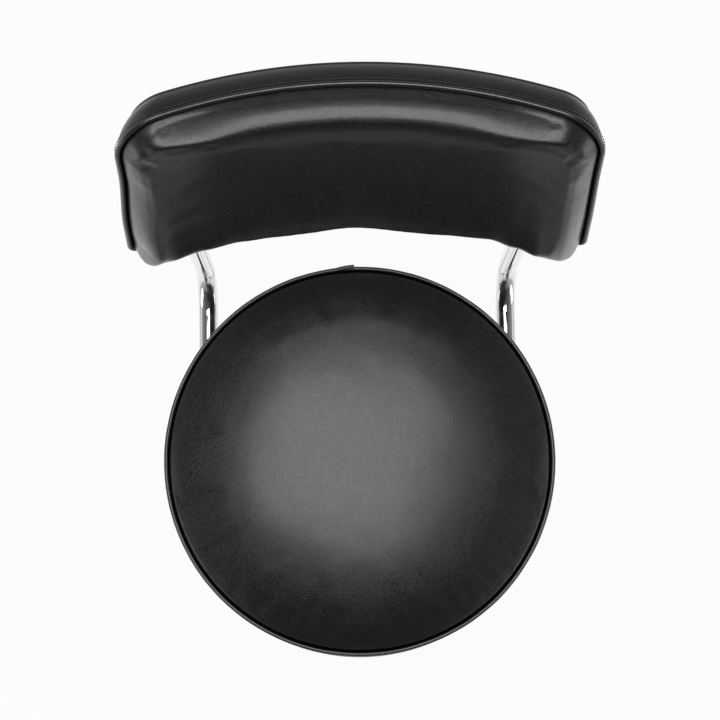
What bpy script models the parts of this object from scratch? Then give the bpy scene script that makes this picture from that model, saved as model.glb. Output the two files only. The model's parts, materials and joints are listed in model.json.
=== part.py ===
"""Swivel bar stool with a round padded seat, a curved padded back and a chrome tube base.

Metres, +Z up. The floor is z = 0, the sitter faces -Y, and the finished model is moved so that
the middle of its bounding box stands on the origin. Until that last step the swivel axis is
x = y = 0, and every place below is measured from it.
"""

import math

import bmesh
import bpy
import numpy
from mathutils import Matrix, Vector

# Running and seating clearances
GAP = 0.0003
PIVOT_GAP = 0.0004
CUT_OVERRUN = 0.004
PIVOT_RELIEF_GAP = 0.0015
ACCESS_GAP = 0.001
PAD_GAP = 0.001

# Base: legs, rings and top plate
BASE_HEIGHT = 0.6375
LEG_RADIUS = 0.0127
LEG_WALL = 0.0015
LEG_TOP_REACH = 0.084
FOOT_REACH = 0.188
GLIDE_RADIUS = 0.0145
GLIDE_HEIGHT = 0.006
GLIDE_PLUG_HEIGHT = 0.016
GLIDE_EDGE = 0.0015
FOOT_RING_DROP = 0.3375
FOOT_RING_TUBE_RADIUS = 0.0095
UPPER_RING_DROP = 0.0775
UPPER_RING_TUBE_RADIUS = 0.0065
TOP_PLATE_RADIUS = 0.105
TOP_PLATE_THICKNESS = 0.003
TOP_PLATE_RIM = 0.014
TOP_PLATE_BORE = 0.022

# Swivel: two plates, two races, balls in a cage and a hollow rivet
LOWER_BOLT_INSET = 0.020
LOWER_PLATE_MARGIN = 0.021
UPPER_PLATE_SIDE = 0.178
UPPER_SCREW_REACH = 0.107
SWIVEL_PLATE_THICKNESS = 0.0025
SWIVEL_PLATE_CORNER = 0.014
BALL_RADIUS = 0.004
BALL_COUNT = 10
RACE_RADIUS = 0.052
RACE_HALF_WIDTH = 0.0085
RACE_FLOOR = 0.0022
RACE_LAND_DROP = 0.0016
CAGE_HALF_WIDTH = 0.0065
CAGE_THICKNESS = 0.0018
RIVET_RADIUS = 0.008
RIVET_BORE = 0.0055
RIVET_FLANGE_RADIUS = 0.0125
RIVET_FLANGE_THICKNESS = 0.0015

# Fasteners
BOLT_RADIUS = 0.003
BOLT_HEAD_RADIUS = 0.0055
BOLT_HEAD_HEIGHT = 0.0035
SCREW_RADIUS = 0.002
SCREW_HEAD_RADIUS = 0.0042
SCREW_HEAD_HEIGHT = 0.0024
SCREW_BITE = 0.011
NUT_RADIUS = 0.0058
NUT_HEIGHT = 0.005
TEE_FLANGE_RADIUS = 0.009
TEE_FLANGE_THICKNESS = 0.0015
TEE_BARREL_RADIUS = 0.0046
TEE_BARREL_LENGTH = 0.007

# Upholstery: vinyl skin and its piping
SKIN = 0.0012
WELT_RADIUS = 0.0020

# Seat
SEAT_RADIUS = 0.184
SEAT_BOARD_RADIUS = 0.1745
SEAT_BOARD_THICKNESS = 0.015
SEAT_BOARD_CHAMFER = 0.002
SEAT_BOX_DEPTH = 0.0735
SEAT_CROWN = 0.030
SEAT_BAND_BULGE = 0.0012
SEAT_HEM_WIDTH = 0.026
CROWN_REACH_POWER = 2.3
CROWN_EDGE_POWER = 0.62

# Backrest: a padded box bent round an upright arc and leaned back
BACK_WIDTH = 0.413
BACK_PANEL_HEIGHT = 0.198
BACK_TOP_CORNER = 0.040
BACK_BOTTOM_CORNER = 0.014
BACK_LEAST_CORNER = 0.002
BACK_ARC_RADIUS = 0.464
BACK_LEAN = math.radians(17.5)
BACK_SETBACK = 0.2545
BACK_RISE = 0.1975
BACK_BOX_DEPTH = 0.023
BACK_BOARD_THICKNESS = 0.009
BACK_BOARD_INSET = 0.0075
BACK_HEM_WIDTH = 0.014
BACK_TAPER = 0.009
BACK_END_PINCH = 0.015
BACK_SHOULDER = 0.0315
BACK_TOP_SPAN = 0.026
BACK_BOTTOM_SPAN = 0.007
BACK_CROWN = 0.0045
OUTER_PANEL_INSET = 0.0095
OUTER_PANEL_THICKNESS = 0.004

# Back tubes
TUBE_RADIUS = 0.0095
TUBE_WALL = 0.0015
TUBE_SPACING = 0.294
TUBE_FRONT_REACH = 0.062
TUBE_BEND_SETBACK = 0.190
TUBE_BEND_RADIUS = 0.045
TUBE_END_REACH = 0.053
TUBE_ENTRY_DROP = 0.006
TUBE_TOP_PLACE = 0.030
TUBE_ENTRY_RADIUS = 0.060
SEAT_BOLT_PLACES = (-0.040, 0.062)
BACK_BOLT_PLACES = (-0.055, 0.010)
PLUG_HEAD = 0.003
PLUG_EDGE = 0.0018
PLUG_DEPTH = 0.014

# Facets, and where along a form its rows of points stand
MERGE_THRESHOLD = 0.00001
SMOOTH_ANGLE = math.radians(35.0)
GROOVE_SHARES = (-1.0, -0.5, 0.0, 0.5, 1.0)
PAD_SHARES = (1.0, 0.985, 0.96, 0.93, 0.90, 0.86, 0.80, 0.72, 0.48, 0.24)
PAD_REAR_SHARES = (0.5, 1.0)
LEAST_SHOULDER_SHARE = 0.05
ROUND_CORNER_SHARE = 0.5
PLATE_CORNER_STEPS = 3
BOXING_STEPS = 3
SEAT_STEPS = 36
RACE_STEPS = 40
SMALL_STEPS = 16
FASTENER_STEPS = 8
POCKET_STEPS = 12
RING_STEPS = 40
RING_SIDES = 8
WELT_SIDES = 6
DOME_STEPS = 6
BAND_STEPS = 3
BEND_STEPS = 6
TUBE_SIDES = 12
EDGE_STEPS = 8
SIDE_STEPS = 3
CORNER_STEPS = 4

# Places and sizes that follow the part they belong to
FOOT_RING_HEIGHT = BASE_HEIGHT - FOOT_RING_DROP
UPPER_RING_HEIGHT = BASE_HEIGHT - UPPER_RING_DROP
LOWER_BOLT_REACH = TOP_PLATE_RADIUS - LOWER_BOLT_INSET
LOWER_PLATE_SIDE = math.sqrt(2.0) * (LOWER_BOLT_REACH + LOWER_PLATE_MARGIN)
TUBE_ARC_PLACE = BACK_WIDTH / 2.0 - TUBE_END_REACH

# Heights that follow from the stack of parts, floor to seam
LEG_BOTTOM_Z = GLIDE_HEIGHT + GAP
LEG_TOP_Z = BASE_HEIGHT - TOP_PLATE_THICKNESS - GAP
LOWER_PLATE_Z = BASE_HEIGHT + GAP
LOWER_RACE_Z = LOWER_PLATE_Z + SWIVEL_PLATE_THICKNESS + GAP
BALL_Z = LOWER_RACE_Z + RACE_FLOOR + GAP + BALL_RADIUS
UPPER_RACE_TOP_Z = 2.0 * BALL_Z - LOWER_RACE_Z
UPPER_PLATE_Z = UPPER_RACE_TOP_Z + GAP
SEAT_BOARD_Z = UPPER_PLATE_Z + SWIVEL_PLATE_THICKNESS + GAP
SEAT_BOARD_TOP_Z = SEAT_BOARD_Z + SEAT_BOARD_THICKNESS
SEAM_Z = SEAT_BOARD_Z + SEAT_BOX_DEPTH
HEM_Z = SEAT_BOARD_Z - GAP - SKIN
TUBE_Z = HEM_Z - GAP - TUBE_RADIUS
WELT_RING_RADIUS = SEAT_RADIUS - WELT_RADIUS

# Slope of the legs, and places inside the backrest, measured back from its front seam
LEG_SLOPE = (FOOT_REACH - LEG_TOP_REACH) / (LEG_TOP_Z - LEG_BOTTOM_Z)
PANEL_INSET = WELT_RADIUS + GAP
BACK_SKIN_INSET = SKIN + GAP
TUBE_BORE = TUBE_RADIUS * math.cos(math.pi / TUBE_SIDES) - TUBE_WALL
TUBE_BACK_PLACE = WELT_RADIUS + GAP + TUBE_RADIUS
BACK_BOARD_REAR = TUBE_BACK_PLACE - TUBE_RADIUS - GAP
BACK_BOARD_FRONT = BACK_BOARD_REAR - BACK_BOARD_THICKNESS
BACK_FOAM_REAR = WELT_RADIUS + 2.0 * GAP
FILLER_FRONT = BACK_FOAM_REAR + GAP
FILLER_REAR = BACK_BOX_DEPTH - SKIN - GAP

COLLECTION = bpy.data.collections.new("bar_stool")
CUTTERS = bpy.data.collections.new("cutters")


def clear_scene():
    """Remove what the scene holds and link the two collections."""
    for existing in list(bpy.data.objects):
        bpy.data.objects.remove(existing, do_unlink=True)
    bpy.context.scene.collection.children.link(COLLECTION)
    bpy.context.scene.collection.children.link(CUTTERS)


def make_material(name, colour, roughness, metallic=0.0):
    """Return a Principled material."""
    material = bpy.data.materials.new(name)
    material.use_nodes = True
    shader = material.node_tree.nodes["Principled BSDF"]
    shader.inputs["Base Color"].default_value = (*colour, 1.0)
    shader.inputs["Roughness"].default_value = roughness
    shader.inputs["Metallic"].default_value = metallic
    return material


def chrome(name):
    """Return bright plating for one sub-part."""
    return make_material(name + "_finish", (0.80, 0.81, 0.82), 0.08, 1.0)


def zinc(name):
    """Return dull plated steel for one sub-part."""
    return make_material(name + "_finish", (0.55, 0.55, 0.54), 0.38, 1.0)


def vinyl(name):
    """Return black vinyl for one sub-part."""
    return make_material(name + "_finish", (0.018, 0.018, 0.019), 0.42)


def plywood(name):
    """Return bare plywood for one sub-part."""
    return make_material(name + "_finish", (0.52, 0.37, 0.21), 0.65)


def foam(name):
    """Return upholstery foam for one sub-part."""
    return make_material(name + "_finish", (0.72, 0.68, 0.55), 0.92)


def black_plastic(name):
    """Return moulded black plastic for one sub-part."""
    return make_material(name + "_finish", (0.03, 0.03, 0.03), 0.5)


def make_empty(name, parent=None):
    """Return an empty on the swivel axis."""
    empty = bpy.data.objects.new(name, None)
    COLLECTION.objects.link(empty)
    empty.parent = parent
    return empty


def add_part(name, mesh, material, parent):
    """Add a mesh as a named part under its empty."""
    part = bpy.data.objects.new(name, mesh)
    COLLECTION.objects.link(part)
    mesh.materials.clear()
    mesh.materials.append(material)
    part.parent = parent
    mesh.shade_smooth()
    mesh.set_sharp_from_angle(angle=SMOOTH_ANGLE)
    return part


def add_copies(name, mesh, material, parent, placements):
    """Add one numbered part at each placement; the parts share their mesh."""
    for number, placement in enumerate(placements, start=1):
        part = add_part("%s_%d" % (name, number), mesh, material, parent)
        part.matrix_local = placement


def mesh_from_bmesh(name, bm):
    """Turn a bmesh into a mesh and free it."""
    mesh = bpy.data.meshes.new(name)
    bm.to_mesh(mesh)
    bm.free()
    return mesh


def evaluated_mesh(source):
    """Return the mesh of an object with its modifiers applied, and remove the object."""
    bpy.context.view_layer.update()
    graph = bpy.context.evaluated_depsgraph_get()
    mesh = bpy.data.meshes.new_from_object(source.evaluated_get(graph))
    bpy.data.objects.remove(source, do_unlink=True)
    return mesh


def turned_mesh(name, profile, steps, closed=False, wall=0.0):
    """Turn a profile of (radius, height) round Z; wall makes an open profile a shell."""
    bm = bmesh.new()
    corners = [bm.verts.new((radius, 0.0, height)) for radius, height in profile]
    for first, second in zip(corners, corners[1:]):
        bm.edges.new((first, second))
    if closed:
        bm.edges.new((corners[-1], corners[0]))
    blank = bpy.data.objects.new(name, mesh_from_bmesh(name, bm))
    CUTTERS.objects.link(blank)
    screw = blank.modifiers.new("turn", "SCREW")
    screw.axis = "Z"
    screw.angle = math.tau
    screw.steps = steps
    screw.render_steps = steps
    screw.use_merge_vertices = True
    screw.merge_threshold = MERGE_THRESHOLD
    if wall:
        add_wall(blank, wall)
    return evaluated_mesh(blank)


def add_wall(part, wall):
    """Thicken an open surface inwards."""
    shell = part.modifiers.new("wall", "SOLIDIFY")
    shell.thickness = wall
    shell.offset = -1.0
    shell.use_even_offset = True


def repeated_mesh(name, mesh, placements):
    """Return one mesh that holds a copy of another at each placement."""
    bm = bmesh.new()
    for placement in placements:
        copy = mesh.copy()
        copy.transform(placement)
        bm.from_mesh(copy)
        bpy.data.meshes.remove(copy)
    return mesh_from_bmesh(name, bm)


def block_mesh(name, low, high):
    """Return a box between two corners."""
    bm = bmesh.new()
    bmesh.ops.create_cube(bm, size=1.0)
    size = Vector(high) - Vector(low)
    bmesh.ops.scale(bm, vec=size, verts=bm.verts)
    bmesh.ops.translate(bm, vec=(Vector(high) + Vector(low)) / 2.0, verts=bm.verts)
    return mesh_from_bmesh(name, bm)


def plate_mesh(name, side, bottom, thickness, corner, turn=0.0):
    """Return a square plate with rounded corners."""
    bm = bmesh.new()
    bmesh.ops.create_cube(bm, size=1.0)
    bmesh.ops.scale(bm, vec=(side, side, thickness), verts=bm.verts)
    uprights = [edge for edge in bm.edges if edge.verts[0].co.xy == edge.verts[1].co.xy]
    rounding = {"segments": PLATE_CORNER_STEPS, "profile": ROUND_CORNER_SHARE}
    bmesh.ops.bevel(bm, geom=uprights, offset=corner, affect="EDGES", **rounding)
    lift = Matrix.Translation((0.0, 0.0, bottom + thickness / 2.0))
    bmesh.ops.transform(bm, matrix=lift @ Matrix.Rotation(turn, 4, "Z"), verts=bm.verts)
    return mesh_from_bmesh(name, bm)


def drill_mesh(name, radius, low, high, steps=FASTENER_STEPS):
    """Return a straight drill along Z between two heights."""
    bm = bmesh.new()
    bmesh.ops.create_cone(
        bm, cap_ends=True, segments=steps, radius1=radius, radius2=radius, depth=high - low
    )
    bmesh.ops.translate(bm, vec=(0.0, 0.0, (low + high) / 2.0), verts=bm.verts)
    return mesh_from_bmesh(name, bm)


def cut(part, name, mesh):
    """Cut a part with a hidden tool of the given mesh."""
    cutter = bpy.data.objects.new(name, mesh)
    CUTTERS.objects.link(cutter)
    cutter.parent = part.parent
    cutter.hide_render = True
    cutter.display_type = "WIRE"
    boolean = part.modifiers.new(name, "BOOLEAN")
    boolean.operation = "DIFFERENCE"
    boolean.object = cutter


def offset_profile(profile, distance):
    """Move a profile that runs down its outer side inwards by a distance, with square mitres."""
    moved = []
    for index, (radius, height) in enumerate(profile):
        before = profile[max(index - 1, 0)]
        after = profile[min(index + 1, len(profile) - 1)]
        first = Vector((radius - before[0], height - before[1]))
        second = Vector((after[0] - radius, after[1] - height))
        first = (first if first.length > 0.0 else second).normalized()
        second = (second if second.length > 0.0 else first).normalized()
        normal = Vector((first.y, -first.x)) + Vector((second.y, -second.x))
        normal.normalize()
        stretch = normal.dot(Vector((first.y, -first.x)))
        moved.append((radius + normal.x * distance / stretch, height + normal.y * distance / stretch))
    return moved


def leg_reach(height):
    """Return how far a leg's centre is from the swivel axis at a height."""
    return FOOT_REACH - LEG_SLOPE * (height - LEG_BOTTOM_Z)


def leg_lean(angle):
    """Return the shear that leans a leg or glide outwards as it goes down."""
    lean = Matrix.Identity(4)
    lean[0][2] = -LEG_SLOPE * math.cos(angle)
    lean[1][2] = -LEG_SLOPE * math.sin(angle)
    foot = Vector((FOOT_REACH * math.cos(angle), FOOT_REACH * math.sin(angle), 0.0))
    lift = Matrix.Translation((0.0, 0.0, -LEG_BOTTOM_Z))
    return Matrix.Translation(foot) @ Matrix.Translation((0.0, 0.0, LEG_BOTTOM_Z)) @ lean @ lift


def build_leg(name, angle, base):
    """One splayed tube leg, flat at both ends."""
    bm = bmesh.new()
    bmesh.ops.create_cone(
        bm,
        cap_ends=False,
        segments=SMALL_STEPS,
        radius1=LEG_RADIUS,
        radius2=LEG_RADIUS,
        depth=LEG_TOP_Z - LEG_BOTTOM_Z,
    )
    bmesh.ops.translate(bm, vec=(0.0, 0.0, (LEG_TOP_Z + LEG_BOTTOM_Z) / 2.0), verts=bm.verts)
    bmesh.ops.transform(bm, matrix=leg_lean(angle), verts=bm.verts)
    leg = add_part(name, mesh_from_bmesh(name, bm), chrome(name), base)
    add_wall(leg, LEG_WALL)


def build_glide(name, angle, base):
    """A plastic glide: a foot on the floor and a plug up inside the leg."""
    plug_radius = LEG_RADIUS - LEG_WALL - GAP
    plug_top = LEG_BOTTOM_Z + GLIDE_PLUG_HEIGHT
    profile = [
        (0.0, plug_top),
        (plug_radius - GLIDE_EDGE, plug_top),
        (plug_radius, plug_top - GLIDE_EDGE),
        (plug_radius, GLIDE_HEIGHT),
        (GLIDE_RADIUS - GLIDE_EDGE, GLIDE_HEIGHT),
        (GLIDE_RADIUS, GLIDE_HEIGHT - GLIDE_EDGE),
        (GLIDE_RADIUS, GLIDE_EDGE),
        (GLIDE_RADIUS - GLIDE_EDGE, 0.0),
        (0.0, 0.0),
    ]
    mesh = turned_mesh(name, profile, SMALL_STEPS)
    mesh.transform(leg_lean(angle))
    add_part(name, mesh, black_plastic(name), base)


def build_ring(name, height, tube_radius, steps, base):
    """A ring of tube laid round the outside of the legs."""
    slant = math.hypot(1.0, LEG_SLOPE)
    ring_radius = leg_reach(height) + LEG_RADIUS + (tube_radius + GAP) * slant
    profile = [
        (
            ring_radius + tube_radius * math.sin(math.tau * step / steps),
            height + tube_radius * math.cos(math.tau * step / steps),
        )
        for step in range(steps)
    ]
    mesh = turned_mesh(name, profile, RING_STEPS, closed=True)
    add_part(name, mesh, chrome(name), base)


def screw_mesh(name):
    """A wood screw with its head below z = 0 and its shank above."""
    length = SWIVEL_PLATE_THICKNESS + 2.0 * GAP + SCREW_BITE
    profile = [
        (0.0, length),
        (SCREW_RADIUS, length - SCREW_RADIUS),
        (SCREW_RADIUS, 0.0),
        (SCREW_HEAD_RADIUS, 0.0),
        (SCREW_HEAD_RADIUS, -SCREW_HEAD_HEIGHT),
        (0.0, -SCREW_HEAD_HEIGHT),
    ]
    return turned_mesh(name, profile, FASTENER_STEPS)


def bolt_mesh(name, grip, nut_radius, nut_height, barrel_length=0.0, tip=0.0):
    """A bolt with its head below z = 0, and its nut screwed on past the grip."""
    profile = [
        (0.0, grip + nut_height + tip),
        (BOLT_RADIUS, grip + nut_height + tip),
        (BOLT_RADIUS, grip + nut_height),
        (nut_radius, grip + nut_height),
        (nut_radius, grip),
        (TEE_BARREL_RADIUS, grip),
        (TEE_BARREL_RADIUS, grip - barrel_length),
        (BOLT_RADIUS, grip - barrel_length),
        (BOLT_RADIUS, 0.0),
        (BOLT_HEAD_RADIUS, 0.0),
        (BOLT_HEAD_RADIUS, -BOLT_HEAD_HEIGHT),
        (0.0, -BOLT_HEAD_HEIGHT),
    ]
    if not tip:
        profile[1:3] = []
    if not barrel_length:
        profile = [corner for corner in profile if corner[0] != TEE_BARREL_RADIUS]
    return turned_mesh(name, profile, FASTENER_STEPS)


def ring_mesh(name, inner, outer, bottom, top, steps):
    """A plain flat ring."""
    profile = [(outer, top), (outer, bottom), (inner, bottom), (inner, top)]
    return turned_mesh(name, profile, steps, closed=True)


def round_places(reach, height, count=4, start=0.0):
    """Placements on a circle about the swivel axis."""
    return [
        Matrix.Rotation(start + math.tau * index / count, 4, "Z") @ Matrix.Translation((reach, 0.0, height))
        for index in range(count)
    ]


def build_base(base):
    """Legs, glides, rings, top plate and its bolts."""
    corners = {"rear_right": 45.0, "rear_left": 135.0, "front_left": 225.0, "front_right": 315.0}
    for corner, degrees in corners.items():
        build_leg("leg_" + corner, math.radians(degrees), base)
        build_glide("glide_" + corner, math.radians(degrees), base)
    build_ring("foot_ring", FOOT_RING_HEIGHT, FOOT_RING_TUBE_RADIUS, RING_SIDES, base)
    build_ring("upper_ring", UPPER_RING_HEIGHT, UPPER_RING_TUBE_RADIUS, RING_SIDES, base)

    bottom = BASE_HEIGHT - TOP_PLATE_THICKNESS
    profile = [
        (TOP_PLATE_BORE, BASE_HEIGHT),
        (TOP_PLATE_RADIUS - TOP_PLATE_THICKNESS, BASE_HEIGHT),
        (TOP_PLATE_RADIUS, bottom),
        (TOP_PLATE_RADIUS, BASE_HEIGHT - TOP_PLATE_RIM),
        (TOP_PLATE_RADIUS - TOP_PLATE_THICKNESS, BASE_HEIGHT - TOP_PLATE_RIM),
        (TOP_PLATE_RADIUS - TOP_PLATE_THICKNESS, bottom),
        (TOP_PLATE_BORE, bottom),
    ]
    mesh = turned_mesh("base_top_plate", profile, SEAT_STEPS, closed=True)
    plate = add_part("base_top_plate", mesh, chrome("base_top_plate"), base)
    places = round_places(LOWER_BOLT_REACH, 0.0)
    drill = drill_mesh("drill", BOLT_RADIUS + GAP, bottom - CUT_OVERRUN, BASE_HEIGHT + CUT_OVERRUN)
    cut(plate, "top_plate_holes", repeated_mesh("top_plate_holes", drill, places))

    grip = SWIVEL_PLATE_THICKNESS + TOP_PLATE_THICKNESS + 3.0 * GAP
    bolt = bolt_mesh("base_bolt", grip, NUT_RADIUS, NUT_HEIGHT, tip=BOLT_RADIUS)
    upside_down = Matrix.Rotation(math.pi, 4, "X")
    heads = round_places(LOWER_BOLT_REACH, LOWER_PLATE_Z + SWIVEL_PLATE_THICKNESS + GAP)
    add_copies("base_bolt", bolt, zinc("base_bolt"), base, [place @ upside_down for place in heads])


def race_profile(direction):
    """Half of the ball race: a ring with an arc groove; direction is 1 for the lower race."""
    groove = BALL_RADIUS + GAP
    back = RACE_FLOOR + groove
    half_arc = math.acos(RACE_LAND_DROP / groove)
    arc = [
        (RACE_RADIUS + groove * math.sin(half_arc * share), -groove * math.cos(half_arc * share))
        for share in GROOVE_SHARES
    ]
    shape = [
        (RACE_RADIUS - RACE_HALF_WIDTH, -back),
        (RACE_RADIUS - RACE_HALF_WIDTH, -RACE_LAND_DROP),
        *arc,
        (RACE_RADIUS + RACE_HALF_WIDTH, -RACE_LAND_DROP),
        (RACE_RADIUS + RACE_HALF_WIDTH, -back),
    ]
    placed = [(radius, BALL_Z + direction * height) for radius, height in shape]
    return placed if direction > 0.0 else placed[::-1]


def build_swivel(base, cage, seat):
    """Both plates, both races, the balls in their cage and the hollow rivet."""
    side, thickness = LOWER_PLATE_SIDE, SWIVEL_PLATE_THICKNESS
    corner = SWIVEL_PLATE_CORNER
    mesh = plate_mesh("lower_swivel_plate", side, LOWER_PLATE_Z, thickness, corner, math.radians(45.0))
    lower = add_part("lower_swivel_plate", mesh, zinc("lower_swivel_plate"), base)
    through = (LOWER_PLATE_Z - CUT_OVERRUN, LOWER_PLATE_Z + thickness + CUT_OVERRUN)
    drill = drill_mesh("drill", BOLT_RADIUS + GAP, *through)
    bolts = round_places(LOWER_BOLT_REACH, 0.0)
    cut(lower, "lower_plate_holes", repeated_mesh("lower_plate_holes", drill, bolts))
    bore = drill_mesh("lower_plate_bore", RIVET_RADIUS + GAP, *through, SMALL_STEPS)
    cut(lower, "lower_plate_bore", bore)
    mesh = turned_mesh("lower_race", race_profile(1.0), RACE_STEPS, closed=True)
    add_part("lower_race", mesh, zinc("lower_race"), base)

    mesh = plate_mesh("upper_swivel_plate", UPPER_PLATE_SIDE, UPPER_PLATE_Z, thickness, corner)
    upper = add_part("upper_swivel_plate", mesh, zinc("upper_swivel_plate"), seat)
    through = (UPPER_PLATE_Z - CUT_OVERRUN, UPPER_PLATE_Z + thickness + CUT_OVERRUN)
    drill = drill_mesh("drill", SCREW_RADIUS + GAP, *through)
    screws = round_places(UPPER_SCREW_REACH, 0.0, start=math.radians(45.0))
    cut(upper, "upper_plate_holes", repeated_mesh("upper_plate_holes", drill, screws))
    bore = drill_mesh("upper_plate_bore", RIVET_RADIUS + PIVOT_GAP, *through, SMALL_STEPS)
    cut(upper, "upper_plate_bore", bore)
    mesh = turned_mesh("upper_race", race_profile(-1.0), RACE_STEPS, closed=True)
    add_part("upper_race", mesh, zinc("upper_race"), seat)

    inner, outer = RACE_RADIUS - CAGE_HALF_WIDTH, RACE_RADIUS + CAGE_HALF_WIDTH
    low, high = BALL_Z - CAGE_THICKNESS / 2.0, BALL_Z + CAGE_THICKNESS / 2.0
    mesh = ring_mesh("ball_cage", inner, outer, low, high, RACE_STEPS)
    ring = add_part("ball_cage", mesh, zinc("ball_cage"), cage)
    through = (low - CUT_OVERRUN, high + CUT_OVERRUN)
    drill = drill_mesh("drill", BALL_RADIUS + GAP, *through, POCKET_STEPS)
    pockets = round_places(RACE_RADIUS, 0.0, BALL_COUNT)
    cut(ring, "ball_pockets", repeated_mesh("ball_pockets", drill, pockets))
    bm = bmesh.new()
    bmesh.ops.create_icosphere(bm, subdivisions=2, radius=BALL_RADIUS)
    ball = mesh_from_bmesh("ball", bm)
    places = round_places(RACE_RADIUS, BALL_Z, BALL_COUNT)
    add_copies("bearing_ball", ball, chrome("bearing_ball"), cage, places)

    top = UPPER_PLATE_Z + thickness + GAP
    profile = [
        (RIVET_BORE, top + RIVET_FLANGE_THICKNESS),
        (RIVET_FLANGE_RADIUS, top + RIVET_FLANGE_THICKNESS),
        (RIVET_FLANGE_RADIUS, top),
        (RIVET_RADIUS, top),
        (RIVET_RADIUS, LOWER_PLATE_Z - GAP),
        (RIVET_FLANGE_RADIUS, LOWER_PLATE_Z - GAP),
        (RIVET_FLANGE_RADIUS, LOWER_PLATE_Z - GAP - RIVET_FLANGE_THICKNESS),
        (RIVET_BORE, LOWER_PLATE_Z - GAP - RIVET_FLANGE_THICKNESS),
    ]
    mesh = turned_mesh("swivel_rivet", profile, SMALL_STEPS, closed=True)
    add_part("swivel_rivet", mesh, zinc("swivel_rivet"), base)


def crown_profile():
    """The outer side of the seat's top panel, centre to seam."""
    edge = WELT_RING_RADIUS - WELT_RADIUS - GAP
    profile = []
    for step in range(DOME_STEPS + 1):
        share = math.sin(math.pi / 2.0 * step / DOME_STEPS)
        height = SEAT_CROWN * (1.0 - share**CROWN_REACH_POWER) ** CROWN_EDGE_POWER
        profile.append((edge * share, SEAM_Z + height))
    return profile


def board_side_profile():
    """The outer side of the seat board, top to hem."""
    radius, chamfer = SEAT_BOARD_RADIUS, SEAT_BOARD_CHAMFER
    return [
        (radius, SEAT_BOARD_TOP_Z),
        (radius, SEAT_BOARD_Z + chamfer),
        (radius - chamfer, SEAT_BOARD_Z),
        (radius - SEAT_HEM_WIDTH, SEAT_BOARD_Z),
    ]


def band_profile():
    """The outer side of the seat's side band: a slight swell, then drawn in round the board."""
    lower = offset_profile(board_side_profile(), -(SKIN + GAP))
    top_radius, top_z = WELT_RING_RADIUS - GAP, SEAM_Z - WELT_RADIUS - GAP
    bottom_radius, bottom_z = lower[0]
    upper = []
    for step in range(BAND_STEPS):
        share = step / BAND_STEPS
        radius = top_radius + (bottom_radius - top_radius) * share**2
        swell = SEAT_BAND_BULGE * math.sin(math.pi * share)
        upper.append((radius + swell, top_z + (bottom_z - top_z) * share))
    return upper + lower


def build_seat(seat):
    """Board, foam, top panel, side band, piping and the screws from the swivel plate."""
    profile = [
        (0.0, SEAT_BOARD_TOP_Z),
        *board_side_profile()[:3],
        (0.0, SEAT_BOARD_Z),
    ]
    mesh = turned_mesh("seat_board", profile, SEAT_STEPS)
    board = add_part("seat_board", mesh, plywood("seat_board"), seat)
    below = SEAT_BOARD_Z - CUT_OVERRUN
    relief_top = SEAT_BOARD_Z + RIVET_FLANGE_THICKNESS + PIVOT_RELIEF_GAP
    relief_radius = RIVET_FLANGE_RADIUS + PIVOT_RELIEF_GAP
    cut(board, "rivet_relief", drill_mesh("rivet_relief", relief_radius, below, relief_top))
    pilot = drill_mesh("drill", SCREW_RADIUS + GAP, below, SEAT_BOARD_Z + SCREW_BITE + GAP)
    screws = round_places(UPPER_SCREW_REACH, 0.0, start=math.radians(45.0))
    cut(board, "pilot_holes", repeated_mesh("pilot_holes", pilot, screws))
    hole = drill_mesh("drill", TEE_BARREL_RADIUS + GAP, below, SEAT_BOARD_TOP_Z + CUT_OVERRUN)
    cut(board, "board_bolt_holes", repeated_mesh("board_bolt_holes", hole, seat_bolt_places(0.0)))
    sink_floor = SEAT_BOARD_TOP_Z - TEE_FLANGE_THICKNESS - 2.0 * GAP
    sink = drill_mesh("drill", TEE_FLANGE_RADIUS + GAP, sink_floor, SEAT_BOARD_TOP_Z + CUT_OVERRUN)
    cut(board, "tee_nut_sinks", repeated_mesh("tee_nut_sinks", sink, seat_bolt_places(0.0)))

    places = round_places(UPPER_SCREW_REACH, UPPER_PLATE_Z - GAP, start=math.radians(45.0))
    screw = screw_mesh("swivel_plate_screw")
    add_copies("swivel_plate_screw", screw, zinc("swivel_plate_screw"), seat, places)

    mesh = turned_mesh("seat_top_panel", crown_profile(), SEAT_STEPS, wall=SKIN)
    add_part("seat_top_panel", mesh, vinyl("seat_top_panel"), seat)
    mesh = turned_mesh("seat_side_band", band_profile(), SEAT_STEPS, wall=SKIN)
    band = add_part("seat_side_band", mesh, vinyl("seat_side_band"), seat)
    drill = drill_mesh("drill", BOLT_RADIUS + GAP, HEM_Z - CUT_OVERRUN, SEAT_BOARD_Z + CUT_OVERRUN)
    cut(band, "hem_holes", repeated_mesh("hem_holes", drill, seat_bolt_places(0.0)))

    floor = SEAT_BOARD_TOP_Z + GAP
    dome = offset_profile(crown_profile(), SKIN + GAP)
    sides = [point for point in offset_profile(band_profile(), SKIN + GAP) if point[1] > floor]
    profile = [(0.0, dome[0][1]), *dome[1:], *sides, (SEAT_BOARD_RADIUS, floor), (0.0, floor)]
    mesh = turned_mesh("seat_foam", profile, SEAT_STEPS)
    add_part("seat_foam", mesh, foam("seat_foam"), seat)

    welt = [
        (
            WELT_RING_RADIUS + WELT_RADIUS * math.sin(math.tau * step / WELT_SIDES),
            SEAM_Z + WELT_RADIUS * math.cos(math.tau * step / WELT_SIDES),
        )
        for step in range(WELT_SIDES)
    ]
    mesh = turned_mesh("seat_piping", welt, SEAT_STEPS, closed=True)
    add_part("seat_piping", mesh, vinyl("seat_piping"), seat)


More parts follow.
